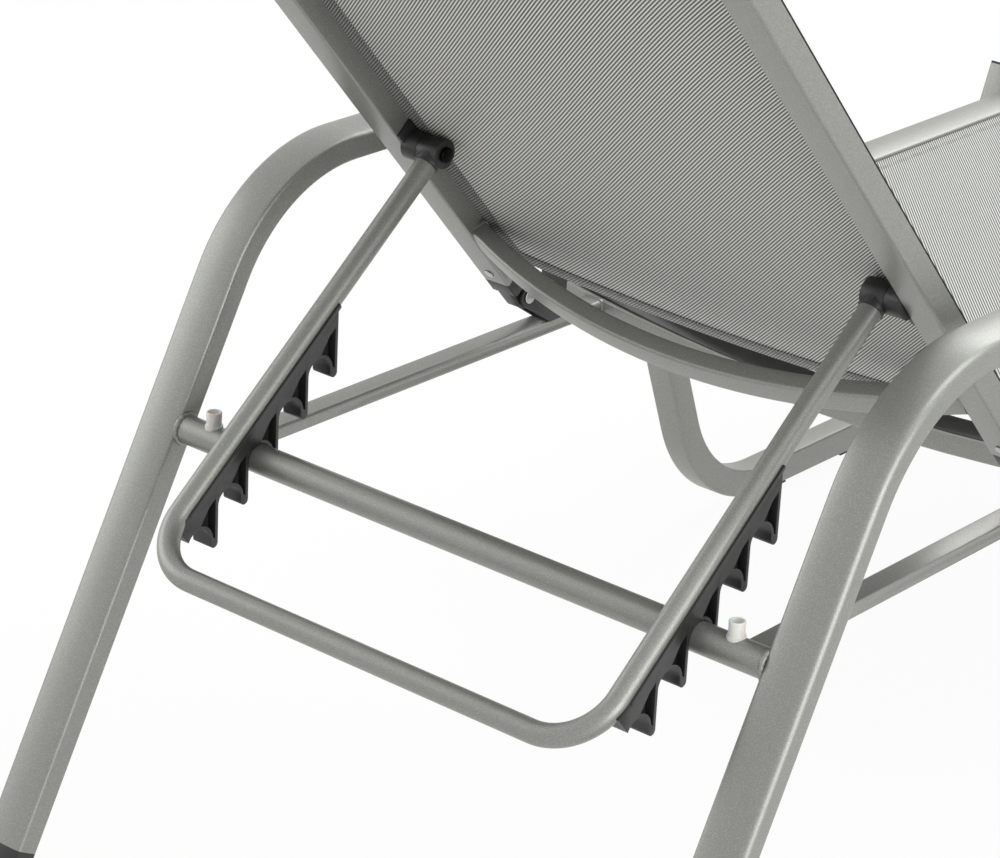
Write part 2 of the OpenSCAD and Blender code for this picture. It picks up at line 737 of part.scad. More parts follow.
// Sunk triangle in the side of each tooth, inside an even rim
module pocket_outline(k) {
    front = notch_r - tooth_pitch + comb_rim;
    difference() {
        polygon([
            [on_arm(k, front)[0] + (saddle_r + comb_rim) * tan(arm_angle), -saddle_r - comb_rim],
            from_notch(k, front, 0),
            from_notch(k, 0, notch_r),
            [on_arm(k, 0)[0] - comb_rim, -saddle_r - comb_rim]
        ]);
        at_notch(k) {
            circle(notch_r + comb_rim);
            translate([-notch_r - comb_rim, -notch_depth])
                square([2 * (notch_r + comb_rim), notch_depth]);
        }
    }
}
module comb_slab(width, x) translate([hub_x + x, 0, 0]) rotate([90, 0, 90])
    linear_extrude(width) children();
module comb_left() color(black) prop_frame() {
    front = on_arm(0, notch_r - tooth_pitch)[0];
    difference() {
        union() {
            comb_slab(comb_w, -comb_w / 2) comb_outline();
            intersection() {
                translate([hub_x, front, 0]) rotate([-90, 0, 0])
                    cylinder(h = min(comb_end, prop_len - prop_corner_r) - front, r = saddle_r);
                translate([hub_x - saddle_r, 0, -saddle_r])
                    cube([2 * saddle_r, prop_len, saddle_r]);
            }
        }
        prop_path(arm_start) {
            circle(d = prop_d);
            circle(d = prop_d - 2 * draw_in);
        }
        for (k = [0 : notch_count - 1], side = [-1, 1])
            comb_slab(comb_w, side * (comb_w + comb_rim) / 2 - comb_w / 2)
                pocket_outline(k);
    }
}
module comb_right() other_side() comb_left();

side_frame_left();
side_frame_right();
rear_foot_left();
rear_foot_right();
cross_bar();
stretcher_left();
stretcher_right();
bumper_left();
bumper_right();
seat_rail_left();
seat_rail_right();
rail_plug_rear_left();
rail_plug_rear_right();
rail_plug_front_left();
rail_plug_front_right();
seat_rear_bow();
seat_middle_bow();
seat_foot_bow();
seat_sling();
leg_loop_left();
leg_loop_right();
loop_plug_rear_left();
loop_plug_rear_right();
loop_plug_front_left();
loop_plug_front_right();
glide_pad_rear_left();
glide_pad_rear_right();
glide_pad_front_left();
glide_pad_front_right();
leg_bolts();
hinge_bracket_left();
hinge_bracket_right();
hinge_pins();
bracket_rivets();
stile_left();
stile_right();
back_brace();
back_top_bar();
end_fitting_left();
end_fitting_right();
fitting_rivets();
stile_plug_left();
stile_plug_right();
back_sling();
pivot_boss_left();
pivot_boss_right();
pivot_bolts();
prop_tube();
prop_hub_left();
prop_hub_right();
comb_left();
comb_right();
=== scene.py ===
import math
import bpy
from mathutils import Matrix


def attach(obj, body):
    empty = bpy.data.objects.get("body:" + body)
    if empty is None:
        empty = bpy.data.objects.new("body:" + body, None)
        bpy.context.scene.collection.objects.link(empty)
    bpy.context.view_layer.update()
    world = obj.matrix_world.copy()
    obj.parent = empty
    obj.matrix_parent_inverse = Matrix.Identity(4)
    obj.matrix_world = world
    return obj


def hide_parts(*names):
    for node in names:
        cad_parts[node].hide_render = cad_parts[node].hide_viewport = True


bl_info = {
    "name": "Folding sun lounger",
    "version": (1, 0, 0),
    "blender": (4, 5, 0),
    "location": "3D View > Sidebar > Lounger",
    "description": "Dresses the lounger's frame, slings and prop",
    "category": "Add Mesh",
}

import bmesh
import bpy
from mathutils import Matrix, Vector

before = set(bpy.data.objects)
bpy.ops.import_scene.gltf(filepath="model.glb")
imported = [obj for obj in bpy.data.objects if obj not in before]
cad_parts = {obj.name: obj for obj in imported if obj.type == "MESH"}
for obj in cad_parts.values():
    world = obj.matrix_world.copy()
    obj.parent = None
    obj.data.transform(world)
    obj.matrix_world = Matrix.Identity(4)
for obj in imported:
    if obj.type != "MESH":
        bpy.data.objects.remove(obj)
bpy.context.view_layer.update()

# A drawn section lies in the plane x = 0 of its own path: y across its depth, z across its width.
# LIE sends a path's x, y and z to the lounger's y, z and x; BOW sends them to x, z and -y.
LIE = Matrix(((0, 0, 1, 0), (1, 0, 0, 0), (0, 1, 0, 0), (0, 0, 0, 1)))
BOW = Matrix(((1, 0, 0, 0), (0, 0, -1, 0), (0, 1, 0, 0), (0, 0, 0, 1)))
MM = 0.001
SLING_SINK = 3.4 * MM       # depth of a sling's middle below the upper face of its rails
SEAT_TUBE_SET = 2 * MM      # distance of the rear seat tube's middle from the rails' rear end
CORNER = 3 * MM             # corner radius of the drawn tubes
WELD = 1.6 * MM             # thickness of a weld bead round a rectangular tube
GROOVE_DEEP = 4.6 * MM      # depth of the groove that holds a sling's bead
BEAD_R = 2.1 * MM           # radius of the bead along a sling's side
BEAD_OUT = 3.4 * MM         # distance of the bead beyond the clear width
CLOTH_OUT = 3 * MM          # reach of the cloth into the groove
SEAMS = (1.5 * MM, 5 * MM)  # a side hem's two seams, from its inner edge
END_HEM = 20 * MM           # width of the hems across the ends
END_SEAMS = (14 * MM, 18 * MM)


def length(name, description, default):
    return bpy.props.FloatProperty(name=name, description=description, default=default,
                                   min=0.0, unit="LENGTH", subtype="DISTANCE")


def angle(name, description, degrees):
    return bpy.props.FloatProperty(name=name, description=description, default=math.radians(degrees),
                                   unit="ROTATION", subtype="ANGLE")


def linear(code):
    """The linear colour of an sRGB hex value."""
    parts = [int(code[k:k + 2], 16) / 255 for k in (1, 3, 5)]
    return [c / 12.92 if c <= 0.04045 else ((c + 0.055) / 1.055) ** 2.4 for c in parts] + [1.0]


def colour(name, description, code):
    return bpy.props.FloatVectorProperty(name=name, description=description, subtype="COLOR", size=4,
                                         min=0.0, max=1.0, default=linear(code))


class LoungerSizes(bpy.types.PropertyGroup):
    """Real sizes of the frame, in metres."""
    origin_y: length("Cross bar place", "Distance of the cross bar's axis from the middle", 0.677062)
    inner_w: length("Inner width", "Clear width between the side frames", 0.608)
    frame_w: length("Frame tube width", "Width of the flat frame tube", 0.0435)
    frame_t: length("Frame tube depth", "Depth of the flat frame tube", 0.022)
    crown_h: length("Crown", "Height of the soft crown on the frame tube", 0.0025)
    arm_top_h: length("Armrest height", "Height of the armrest's upper edge", 0.569)
    arch_r: length("Arch radius", "Radius of the rear arch to the tube's middle", 0.159)
    leg_lean: angle("Leg lean", "Lean of the rear legs from upright", 28.4)
    arm_front_r: length("Front bend", "Radius of the bend at the armrest's front", 0.070)
    post_run: length("Post run", "Distance from the cross bar to the front post", 0.616)
    foot_h: length("Foot height", "Height of the foot caps of the rear legs", 0.024)
    cross_d: length("Cross bar diameter", "Diameter of the round cross bar", 0.025)
    cross_h: length("Cross bar height", "Height of the cross bar's axis", 0.357)
    stretcher_w: length("Stretcher width", "Width of the level stretchers", 0.023)
    stretcher_t: length("Stretcher depth", "Depth of the level stretchers", 0.013)
    stretcher_top_h: length("Stretcher height", "Height of the stretchers' upper face", 0.353)
    bumper_d: length("Bumper diameter", "Outer diameter of a bumper", 0.013)
    bumper_h: length("Bumper height", "Height of a bumper above the cross bar", 0.013)
    rail_top_h: length("Rail height", "Height of the rails' inner upper edge", 0.3645)
    rail_start: length("Rail start", "Distance from the cross bar to the rails' rear end", 0.518)
    rail_len: length("Rail length", "Length of a seat rail", 1.042)
    bow_w: length("Seat tube width", "Size of the seat's cross tubes along the lounger", 0.040)
    bow_t: length("Seat tube height", "Height of the seat's cross tubes", 0.020)
    bow_gap: length("Seat tube gap", "Gap between the seat's cross tubes and its sling", 0.0006)
    cad_sling_t: length("Solid sling", "Thickness of the plain solid that stands for a sling", 0.0012)
    bow_drop: length("Seat tube drop", "Drop of the seat's cross tubes in the middle", 0.025)
    loop_w: length("Leg loop tube", "Side of the leg loops' square tube", 0.0295)
    loop_r: length("Leg loop bend", "Radius of the leg loops' bends", 0.150)
    loop_lean: angle("Leg loop lean", "Lean of the leg loops' branches", 21.0)
    loop_start: length("Leg loop place", "Distance from the cross bar to the rear branch", 0.681)
    loop_span: length("Leg loop span", "Distance between the branches at the rail", 0.645)
    pad_t: length("Glide pad", "Thickness of the glide pads", 0.0025)
    loop_top_gap: length("Leg loop rise", "Rise of the leg loops above the rails", 0.014)
    hinge_run: length("Hinge place", "Distance from the cross bar to the hinge", 0.3905)
    hinge_h: length("Hinge height", "Height of the hinge axis", 0.3855)
    back_angle: angle("Recline", "Angle of the backrest above level", 47.964)
    stile_w: length("Stile width", "Width of a backrest stile", 0.030)
    stile_t: length("Stile depth", "Depth of a backrest stile", 0.0248)
    back_w: length("Backrest width", "Clear width between the stiles", 0.512)
    stile_len: length("Stile length", "Length of a stile", 0.691)
    stile_gap: length("Stile start", "Distance from the hinge to the stile's lower end", 0.037)
    brace_t: length("Brace depth", "Depth of the bowed brace", 0.017)
    brace_w: length("Brace height", "Height of the bowed brace", 0.024)
    brace_bow: length("Brace bow", "Rearward bow of the brace", 0.0525)
    brace_run: length("Brace place", "Distance from the hinge up to the brace", 0.109)
    brace_drop: length("Brace set-back", "Depth of the brace's ends behind the stiles' middle", 0.0025)
    brace_tilt: angle("Brace tilt", "Tilt of the brace about its own line", 5.6)
    top_drop: length("Top bar set-back", "Depth of the top bar behind the stiles' middle", 0.0007)
    top_bow: length("Top bar bow", "Rearward bow of the top bar", 0.030)
    prop_d: length("Prop diameter", "Diameter of the prop's tube", 0.019)
    prop_w: length("Prop width", "Distance between the middles of the prop's arms", 0.456)
    prop_len: length("Prop length", "Length of the prop from pivot to lower bar", 0.4315)
    prop_corner_r: length("Prop bend", "Radius of the prop's corners", 0.050)
    pivot_y: length("Pivot place", "Distance from the cross bar forward to the pivot", 0.215996)
    pivot_z: length("Pivot height", "Height of the prop's pivot", 0.570700)
    arm_angle: angle("Prop angle", "Fall of the prop's arms from level", 38.914)
    sling_t: length("Sling thickness", "Thickness of the sling fabric", 0.0011)
    hem_w: length("Hem", "Width of the sewn side hems", 0.018)
    stitch: length("Stitch pitch", "Distance between stitches, drawn coarse enough to show", 0.0042)


class LoungerColours(bpy.types.PropertyGroup):
    """Colours of the finishes."""
    silver: colour("Powder coat", "Champagne silver powder coat", "#8c8d88")
    flake: colour("Flakes", "Light flakes in the powder coat", "#a5a6a2")
    nylon: colour("Nylon", "Black moulded nylon", "#1c1d1c")
    milky: colour("Bumper", "Milky polyethylene", "#f4f4f0")
    zinc: colour("Zinc", "Zinc plated steel", "#b9bbb9")
    yarn_light: colour("Light yarn", "Light coated yarn of the sling", "#d2d3ce")
    # Painted shade: the low gaps between the sling's yarns are drawn near black.
    weave_gap_shade: colour("Weave gap shade", "Painted shade in the low gaps of the weave", "#161715")
    thread: colour("Thread", "Sewing thread of the hems", "#161716")
    floor: colour("Floor", "Plain pale floor", "#f4f4f2")


def sizes():
    return bpy.context.scene.lounger_sizes


def colours():
    return bpy.context.scene.lounger_colours


# Selection and placing
def rest():
    if bpy.context.object and bpy.context.object.mode != "OBJECT":
        bpy.ops.object.mode_set(mode="OBJECT")
    bpy.ops.object.select_all(action="DESELECT")


def only(obj):
    rest()
    obj.select_set(True)
    bpy.context.view_layer.objects.active = obj
    return obj


def edit(obj, mode="VERT"):
    only(obj)
    bpy.ops.object.mode_set(mode="EDIT")
    bpy.ops.mesh.select_mode(type=mode)
    bpy.ops.mesh.select_all(action="SELECT")


def choose(obj, test, kind="verts"):
    """Selects the vertices, edges or faces in edit mode whose place or normal passes the test."""
    bpy.ops.mesh.select_all(action="DESELECT")
    mesh = bmesh.from_edit_mesh(obj.data)
    for item in getattr(mesh, kind):
        if test(item):
            item.select_set(True)
    mesh.select_flush_mode()
    bmesh.update_edit_mesh(obj.data)


def place(obj, matrix):
    """Puts the piece where the matrix says and leaves its object at the origin."""
    only(obj)
    obj.matrix_world = matrix
    bpy.ops.object.transform_apply(location=True, rotation=True, scale=True)


def outward(obj):
    edit(obj)
    bpy.ops.mesh.normals_make_consistent(inside=False)
    rest()


def smooth(obj, degrees=35):
    only(obj)
    bpy.ops.object.shade_smooth_by_angle(angle=math.radians(degrees))


def apply_modifier(obj, kind, **settings):
    only(obj)
    name = obj.modifiers.new(kind.title(), kind).name
    for key, value in settings.items():
        setattr(obj.modifiers[name], key, value)
    bpy.ops.object.modifier_apply(modifier=name)


def mirrored(obj, name):
    """A copy with its own mesh on the lounger's other side."""
    only(obj)
    bpy.ops.object.duplicate(linked=False)
    twin = bpy.context.object
    twin.name = twin.data.name = name
    place(twin, Matrix.Diagonal((-1, 1, 1, 1)))
    outward(twin)
    return twin


def joined(objs, name):
    rest()
    for obj in objs:
        obj.select_set(True)
    bpy.context.view_layer.objects.active = objs[0]
    if len(objs) > 1:
        bpy.ops.object.join()
    made = bpy.context.object
    made.name = made.data.name = name
    return made


def finish(obj, material, body, slot, *nodes):
    """Gives a piece its material and body, and hides the CAD nodes that it stands for. The slot is not
    used.
    """
    obj.data.materials.clear()
    obj.data.materials.append(material)
    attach(obj, body)
    if nodes:
        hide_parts(*nodes)
    return obj


# Tubes
def section(name, depth, width, r_low, r_high=None, crown=0.0, groove=None):
    """The closed line of a drawn tube. Low is the side towards the lounger's middle."""
    rest()
    bpy.ops.mesh.primitive_plane_add(size=1.0, rotation=(0, math.pi / 2, 0))
    obj = bpy.context.object
    obj.name = obj.data.name = name
    bpy.ops.object.transform_apply(location=True, rotation=True, scale=True)
    edit(obj)
    bpy.ops.transform.resize(value=(1, depth, width))
    for high, radius in ((False, r_low), (True, r_high or r_low)):
        choose(obj, lambda v: (v.co.z > 0) == high)
        bpy.ops.mesh.bevel(offset_type="OFFSET", offset=radius, segments=5, affect="VERTICES")
    if crown:
        choose(obj, lambda v: v.co.y > depth / 2 - 1e-6)
        bpy.ops.mesh.subdivide(number_cuts=9)
        mesh = bmesh.from_edit_mesh(obj.data)
        for v in mesh.verts:
            if v.co.y > 0:
                v.co.y += crown * (1 - (2 * v.co.z / width) ** 2) * v.co.y / (depth / 2)
    bpy.ops.mesh.select_all(action="SELECT")
    bpy.ops.mesh.delete(type="ONLY_FACE")
    if groove:
        side = -width / 2
        choose(obj, lambda v: v.co.z < side + 1e-6)
        before = {v.index for v in bmesh.from_edit_mesh(obj.data).verts}
        bpy.ops.mesh.subdivide(number_cuts=4)
        mesh = bmesh.from_edit_mesh(obj.data)
        mesh.verts.ensure_lookup_table()
        new = sorted((v for k, v in enumerate(mesh.verts) if k >= len(before)), key=lambda v: v.co.y)
        low, high, deep = groove
        corners = ((low, side), (low, side + deep), (high, side + deep), (high, side))
        for v, (y, z) in zip(new, corners):
            v.co.y, v.co.z = y, z
    return obj


def ring(name, radius, count=48):
    """The closed line of a round tube."""
    rest()
    bpy.ops.mesh.primitive_circle_add(vertices=count, radius=radius, rotation=(0, math.pi / 2, 0))
    obj = bpy.context.object
    obj.name = obj.data.name = name
    bpy.ops.object.transform_apply(location=True, rotation=True, scale=True)
    edit(obj)
    return obj


def follow(obj, steps, matrix, step_angle=3.0, start=None):
    """Draws the line along straights (length, 0) and bends (radius, degrees), left when positive."""
    count = (len(obj.data.vertices) if obj.mode == "OBJECT"
             else len(bmesh.from_edit_mesh(obj.data).verts))
    at = Matrix.Identity(4)
    bpy.ops.mesh.select_all(action="SELECT")
    if start is not None:
        at = start.copy()
        mesh = bmesh.from_edit_mesh(obj.data)
        bmesh.ops.transform(mesh, matrix=at, verts=mesh.verts)
    for size, turn in steps:
        if turn == 0:
            move = at.to_3x3() @ Vector((size, 0, 0))
            bpy.ops.mesh.extrude_region_move(TRANSFORM_OT_translate={"value": move})
            at = at @ Matrix.Translation((size, 0, 0))
        else:
            side = math.copysign(size, turn)
            bpy.ops.mesh.spin(steps=max(3, round(abs(turn) / step_angle)), angle=-math.radians(turn),
                              center=at @ Vector((0, side, 0)), axis=(0, 0, 1))
            at = (at @ Matrix.Translation((0, side, 0)) @ Matrix.Rotation(math.radians(turn), 4, "Z")
                  @ Matrix.Translation((0, -side, 0)))
    bpy.ops.mesh.edge_face_add()
    mesh = bmesh.from_edit_mesh(obj.data)
    mesh.verts.ensure_lookup_table()
    first = set(mesh.verts[:count])
    choose(obj, lambda v: v in first)
    bpy.ops.mesh.edge_face_add()
    outward(obj)
    place(obj, matrix)
    smooth(obj)
    return obj


def cut_flat(obj, x, keep_low):
    """Cuts the piece off square at x and closes it."""
    edit(obj)
    bpy.ops.mesh.bisect(plane_co=(x, 0, 0), plane_no=(1, 0, 0), use_fill=True,
                        clear_outer=keep_low, clear_inner=not keep_low)
    rest()


def side_plane(x):
    return Matrix.Translation((x, sizes().origin_y, 0)) @ LIE


def back_frame():
    s = sizes()
    return (Matrix.Translation((0, s.origin_y - s.hinge_run, s.hinge_h))
            @ Matrix.Rotation(s.back_angle, 4, "X"))


def prop_frame():
    s = sizes()
    return (Matrix.Translation((0, s.origin_y - s.pivot_y, s.pivot_z))
            @ Matrix.Rotation(-s.arm_angle, 4, "X"))


def turned(degrees):
    return Matrix.Rotation(math.radians(degrees), 4, "Z")


def bowed(name, half, drop, depth, width, matrix):
    """A tube that bows by drop between two end planes."""
    r = (half * half + drop * drop) / (2 * drop)
    reach = math.degrees(math.asin(half / r) + math.asin(depth / r))
    start = (Matrix.Translation((0, r - drop, 0)) @ turned(-reach) @ Matrix.Translation((0, -r, 0)))
    tube = section(name, depth, width, CORNER)
    follow(tube, [(r, 2 * reach)], Matrix.Identity(4), 1.5, start)
    cut_flat(tube, half, True)
    cut_flat(tube, -half, False)
    outward(tube)
    place(tube, matrix @ BOW)
    smooth(tube)
    return tube


# Moulded and turned parts take the CAD solid's own shape, with their edges eased
def eased(node, name, width, steps=2):
    """A copy of a CAD node, merged and with its sharp edges rounded."""
    rest()
    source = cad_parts[node]
    copy = bpy.data.objects.new(name, source.data.copy())
    bpy.context.scene.collection.objects.link(copy)
    edit(copy)
    bpy.ops.mesh.remove_doubles(threshold=1e-6)
    bpy.ops.mesh.dissolve_limited(angle_limit=math.radians(1.0))
    rest()
    apply_modifier(copy, "BEVEL", width=width, segments=steps, limit_method="ANGLE",
                   angle_limit=math.radians(40), use_clamp_overlap=True)
    copy.data.name = name
    smooth(copy, 40)
    return copy


# Materials
def add(nodes, links, kind, x, y, inputs=None, **settings):
    """Adds one node with its settings, and sets or links its inputs."""
    made = nodes.new(kind)
    made.location = (x, y)
    for key, value in settings.items():
        setattr(made, key, value)
    for key, value in (inputs or {}).items():
        if isinstance(value, bpy.types.NodeSocket):
            links.new(value, made.inputs[key])
        else:
            made.inputs[key].default_value = value
    return made


def blank(name):
    material = bpy.data.materials.new(name)
    material.use_nodes = True
    tree = material.node_tree
    tree.nodes.clear()
    return material, tree.nodes, tree.links


def ramp(node, *stops):
    """Sets a colour ramp's stops, each a place and a colour."""
    elements = node.color_ramp.elements
    while len(elements) > 1:
        elements.remove(elements[-1])
    elements[0].position, elements[0].color = stops[0]
    for where, shade in stops[1:]:
        elements.new(where).color = shade
    return node


def shade(colour, factor):
    return [c * factor for c in colour[:3]] + [1.0]


def powder_coat():
    """Sprayed and baked silver powder on aluminium: flakes in a half-gloss film, faintly pebbled."""
    material, nodes, links = blank("sprayed silver powder coat on aluminium")
    c = colours()
    place_on = add(nodes, links, "ShaderNodeTexCoord", -1200, 0).outputs["Object"]
    # Flakes are about 0.05 mm; they are drawn at 0.9 mm so that they show
    flakes = add(nodes, links, "ShaderNodeTexNoise", -950, 200,
                 {"Vector": place_on, "Scale": 1100.0, "Detail": 2.0, "Roughness": 0.7})
    cloud = add(nodes, links, "ShaderNodeTexNoise", -950, -50,
                {"Vector": place_on, "Scale": 9.0, "Detail": 3.0, "Roughness": 0.5})
    spread = ramp(add(nodes, links, "ShaderNodeValToRGB", -700, 200, {"Fac": flakes.outputs["Fac"]}),
                  (0.30, shade(c.silver, 0.90)), (0.50, list(c.silver)), (0.75, list(c.flake)))
    tone = add(nodes, links, "ShaderNodeMapRange", -700, -50,
               {"Value": cloud.outputs["Fac"], "To Min": 0.95, "To Max": 1.04})
    mixed = add(nodes, links, "ShaderNodeMix", -430, 150,
                {0: 1.0, 6: spread.outputs["Color"], 7: tone.outputs["Result"]},
                data_type="RGBA", blend_type="MULTIPLY")
    rough = add(nodes, links, "ShaderNodeMapRange", -430, -80,
                {"Value": flakes.outputs["Fac"], "To Min": 0.38, "To Max": 0.45})
    # Orange peel of a sprayed film, 2 mm across
    peel = add(nodes, links, "ShaderNodeTexNoise", -700, -300,
               {"Vector": place_on, "Scale": 480.0, "Detail": 1.0})
    bump = add(nodes, links, "ShaderNodeBump", -430, -300,
               {"Height": peel.outputs["Fac"], "Strength": 0.07, "Distance": 0.0003})
    surface = add(nodes, links, "ShaderNodeBsdfPrincipled", -150, 0,
                  {"Base Color": mixed.outputs[2], "Metallic": 0.60,
                   "Roughness": rough.outputs["Result"], "Normal": bump.outputs["Normal"],
                   "Coat Weight": 0.12, "Coat Roughness": 0.25})
    add(nodes, links, "ShaderNodeOutputMaterial", 150, 0, {"Surface": surface.outputs["BSDF"]})
    return material


def nylon():
    """Black glass-filled nylon from a spark-eroded mould: satin, with a fine even grain."""
    material, nodes, links = blank("moulded black nylon")
    c = colours()
    place_on = add(nodes, links, "ShaderNodeTexCoord", -1000, 0).outputs["Object"]
    # Mould grain is about 0.1 mm; it is drawn at 0.5 mm
    grain = add(nodes, links, "ShaderNodeTexNoise", -750, 0,
                {"Vector": place_on, "Scale": 2000.0, "Detail": 2.0})
    scuff = add(nodes, links, "ShaderNodeTexNoise", -750, -250,
                {"Vector": place_on, "Scale": 60.0, "Detail": 4.0, "Roughness": 0.6})
    tone = ramp(add(nodes, links, "ShaderNodeValToRGB", -480, 150, {"Fac": scuff.outputs["Fac"]}),
                (0.35, shade(c.nylon, 0.85)), (0.60, list(c.nylon)), (0.80, shade(c.nylon, 1.7)))
    rough = add(nodes, links, "ShaderNodeMapRange", -480, -100,
                {"Value": scuff.outputs["Fac"], "To Min": 0.36, "To Max": 0.52})
    bump = add(nodes, links, "ShaderNodeBump", -480, -300,
               {"Height": grain.outputs["Fac"], "Strength": 0.15, "Distance": 0.0002})
    surface = add(nodes, links, "ShaderNodeBsdfPrincipled", -150, 0,
                  {"Base Color": tone.outputs["Color"], "Roughness": rough.outputs["Result"],
                   "Normal": bump.outputs["Normal"], "IOR": 1.53})
    add(nodes, links, "ShaderNodeOutputMaterial", 150, 0, {"Surface": surface.outputs["BSDF"]})
    return material


def polyethylene():
    """Milky low-density polyethylene: waxy, and light passes a few millimetres into it."""
    material, nodes, links = blank("milky polyethylene")
    c = colours()
    place_on = add(nodes, links, "ShaderNodeTexCoord", -800, 0).outputs["Object"]
    haze = add(nodes, links, "ShaderNodeTexNoise", -550, 0,
               {"Vector": place_on, "Scale": 300.0, "Detail": 2.0})
    tone = ramp(add(nodes, links, "ShaderNodeValToRGB", -300, 100, {"Fac": haze.outputs["Fac"]}),
                (0.3, shade(c.milky, 0.93)), (0.7, list(c.milky)))
    bump = add(nodes, links, "ShaderNodeBump", -300, -200,
               {"Height": haze.outputs["Fac"], "Strength": 0.08, "Distance": 0.0003})
    surface = add(nodes, links, "ShaderNodeBsdfPrincipled", 0, 0,
                  {"Base Color": tone.outputs["Color"], "Roughness": 0.38, "IOR": 1.51,
                   "Transmission Weight": 0.10, "Subsurface Weight": 0.4, "Subsurface Scale": 0.003,
                   "Normal": bump.outputs["Normal"]})
    add(nodes, links, "ShaderNodeOutputMaterial", 300, 0, {"Surface": surface.outputs["BSDF"]})
    return material


def plated(name, tint):
    """Plated steel of bolts and rivets, slightly cloudy."""
    material, nodes, links = blank(name)
    place_on = add(nodes, links, "ShaderNodeTexCoord", -800, 0).outputs["Object"]
    cloud = add(nodes, links, "ShaderNodeTexNoise", -550, 0,
                {"Vector": place_on, "Scale": 500.0, "Detail": 4.0})
    tone = ramp(add(nodes, links, "ShaderNodeValToRGB", -300, 100, {"Fac": cloud.outputs["Fac"]}),
                (0.3, shade(tint, 0.8)), (0.7, list(tint)))
    rough = add(nodes, links, "ShaderNodeMapRange", -300, -100,
                {"Value": cloud.outputs["Fac"], "To Min": 0.22, "To Max": 0.38})
    surface = add(nodes, links, "ShaderNodeBsdfPrincipled", 0, 0,
                  {"Base Color": tone.outputs["Color"], "Metallic": 1.0,
                   "Roughness": rough.outputs["Result"]})
    add(nodes, links, "ShaderNodeOutputMaterial", 300, 0, {"Surface": surface.outputs["BSDF"]})
    return material


def weave(name, light, dark):
    """Sling cloth of PVC coated polyester yarn in a twill, whose slant ribs stand 2.5 mm apart."""
    material, nodes, links = blank(name)
    flat = add(nodes, links, "ShaderNodeUVMap", -1700, 0, uv_map="UVMap").outputs["UV"]

    def calc(operation, a, b, x, y):
        return add(nodes, links, "ShaderNodeMath", x, y, {0: a, 1: b}, operation=operation).outputs[0]

    def count(kx, ky, x, y):
        """How many repeats lie before a point, for a pattern of kx and ky repeats a millimetre."""
        dot = add(nodes, links, "ShaderNodeVectorMath", x, y,
                  {0: flat, 1: (kx / MM, ky / MM, 0.0)}, operation="DOT_PRODUCT")
        return dot.outputs["Value"]

    def wave(repeats, x, y):
        turned_by = calc("MULTIPLY", repeats, 2 * math.pi, x, y)
        return calc("SINE", turned_by, 0.0, x + 180, y)

    # Three warp yarns and three weft yarns make one repeat of the twill
    rib = wave(count(0.298, 0.270, -1500, 200), -1300, 200)
    warp = wave(count(0.894, 0.0, -1500, 0), -1300, 0)
    weft = wave(count(0.0, 0.810, -1500, -200), -1300, -200)
    yarns = calc("MULTIPLY", warp, weft, -900, -100)
    height = calc("ADD", rib, calc("MULTIPLY", yarns, 0.22, -700, -100), -500, 50)
    level = add(nodes, links, "ShaderNodeMapRange", -300, 50,
                {"Value": height, "From Min": -1.15, "From Max": 1.15}).outputs["Result"]
    # Low parts of the weave take the dark colour, which is painted shade in the gaps between the yarns;
    # high parts take the yarn's own light colour.
    tone = ramp(add(nodes, links, "ShaderNodeValToRGB", -100, 150, {"Fac": level}),
                (0.24, list(dark)), (0.50, [(a + b) / 2 for a, b in zip(light, dark)]),
                (0.76, list(light)))
    bump = add(nodes, links, "ShaderNodeBump", -100, -200,
               {"Height": level, "Strength": 0.35, "Distance": 0.0004})
    surface = add(nodes, links, "ShaderNodeBsdfPrincipled", 250, 0,
                  {"Base Color": tone.outputs["Color"], "Roughness": 0.55, "IOR": 1.5,
                   "Sheen Weight": 0.08, "Normal": bump.outputs["Normal"]})
    add(nodes, links, "ShaderNodeOutputMaterial", 550, 0, {"Surface": surface.outputs["BSDF"]})
    return material


def sewing_thread():
    """Twisted polyester thread, drawn with its twist 1 mm apart."""
    material, nodes, links = blank("twisted polyester thread")
    c = colours()
    place_on = add(nodes, links, "ShaderNodeTexCoord", -800, 0).outputs["Object"]
    twist = add(nodes, links, "ShaderNodeTexNoise", -550, 0,
                {"Vector": place_on, "Scale": 1000.0, "Detail": 1.0})
    tone = ramp(add(nodes, links, "ShaderNodeValToRGB", -300, 0, {"Fac": twist.outputs["Fac"]}),
                (0.35, shade(c.thread, 0.7)), (0.65, shade(c.thread, 1.5)))
    surface = add(nodes, links, "ShaderNodeBsdfPrincipled", 0, 0,
                  {"Base Color": tone.outputs["Color"], "Roughness": 0.7, "Sheen Weight": 0.2})
    add(nodes, links, "ShaderNodeOutputMaterial", 300, 0, {"Surface": surface.outputs["BSDF"]})
    return material


def material_of(kind):
    """Each material is made once."""
    c = colours()
    makers = {
        "silver": ("sprayed silver powder coat on aluminium", powder_coat),
        "nylon": ("moulded black nylon", nylon),
        "dark": ("blackened steel", lambda: plated("blackened steel", c.nylon)),
        "milky": ("milky polyethylene", polyethylene),
        "zinc": ("zinc plated steel", lambda: plated("zinc plated steel", c.zinc)),
        "cloth": ("coated twill sling cloth",
                  lambda: weave("coated twill sling cloth", c.yarn_light, c.weave_gap_shade)),
        # The hem's light yarn is drawn at 0.48 of its colour: painted shade, since the doubled cloth
        # lets less light through than the single cloth.
        "hem": ("doubled sling cloth",
                lambda: weave("doubled sling cloth", shade(c.yarn_light, 0.48), list(c.weave_gap_shade))),
        "thread": ("twisted polyester thread", sewing_thread),
    }
    name, make = makers[kind]
    return bpy.data.materials.get(name) or make()


SLOTS = {"silver": "silver_powder_coat", "nylon": "black_nylon", "milky": "milky_polyethylene",
         "zinc": "zinc_steel", "dark": "zinc_steel", "cloth": "textilene", "hem": "textilene",
         "thread": "textilene"}


def done(obj, kind, body, *nodes):
    return finish(obj, material_of(kind), body, SLOTS[kind], *nodes)


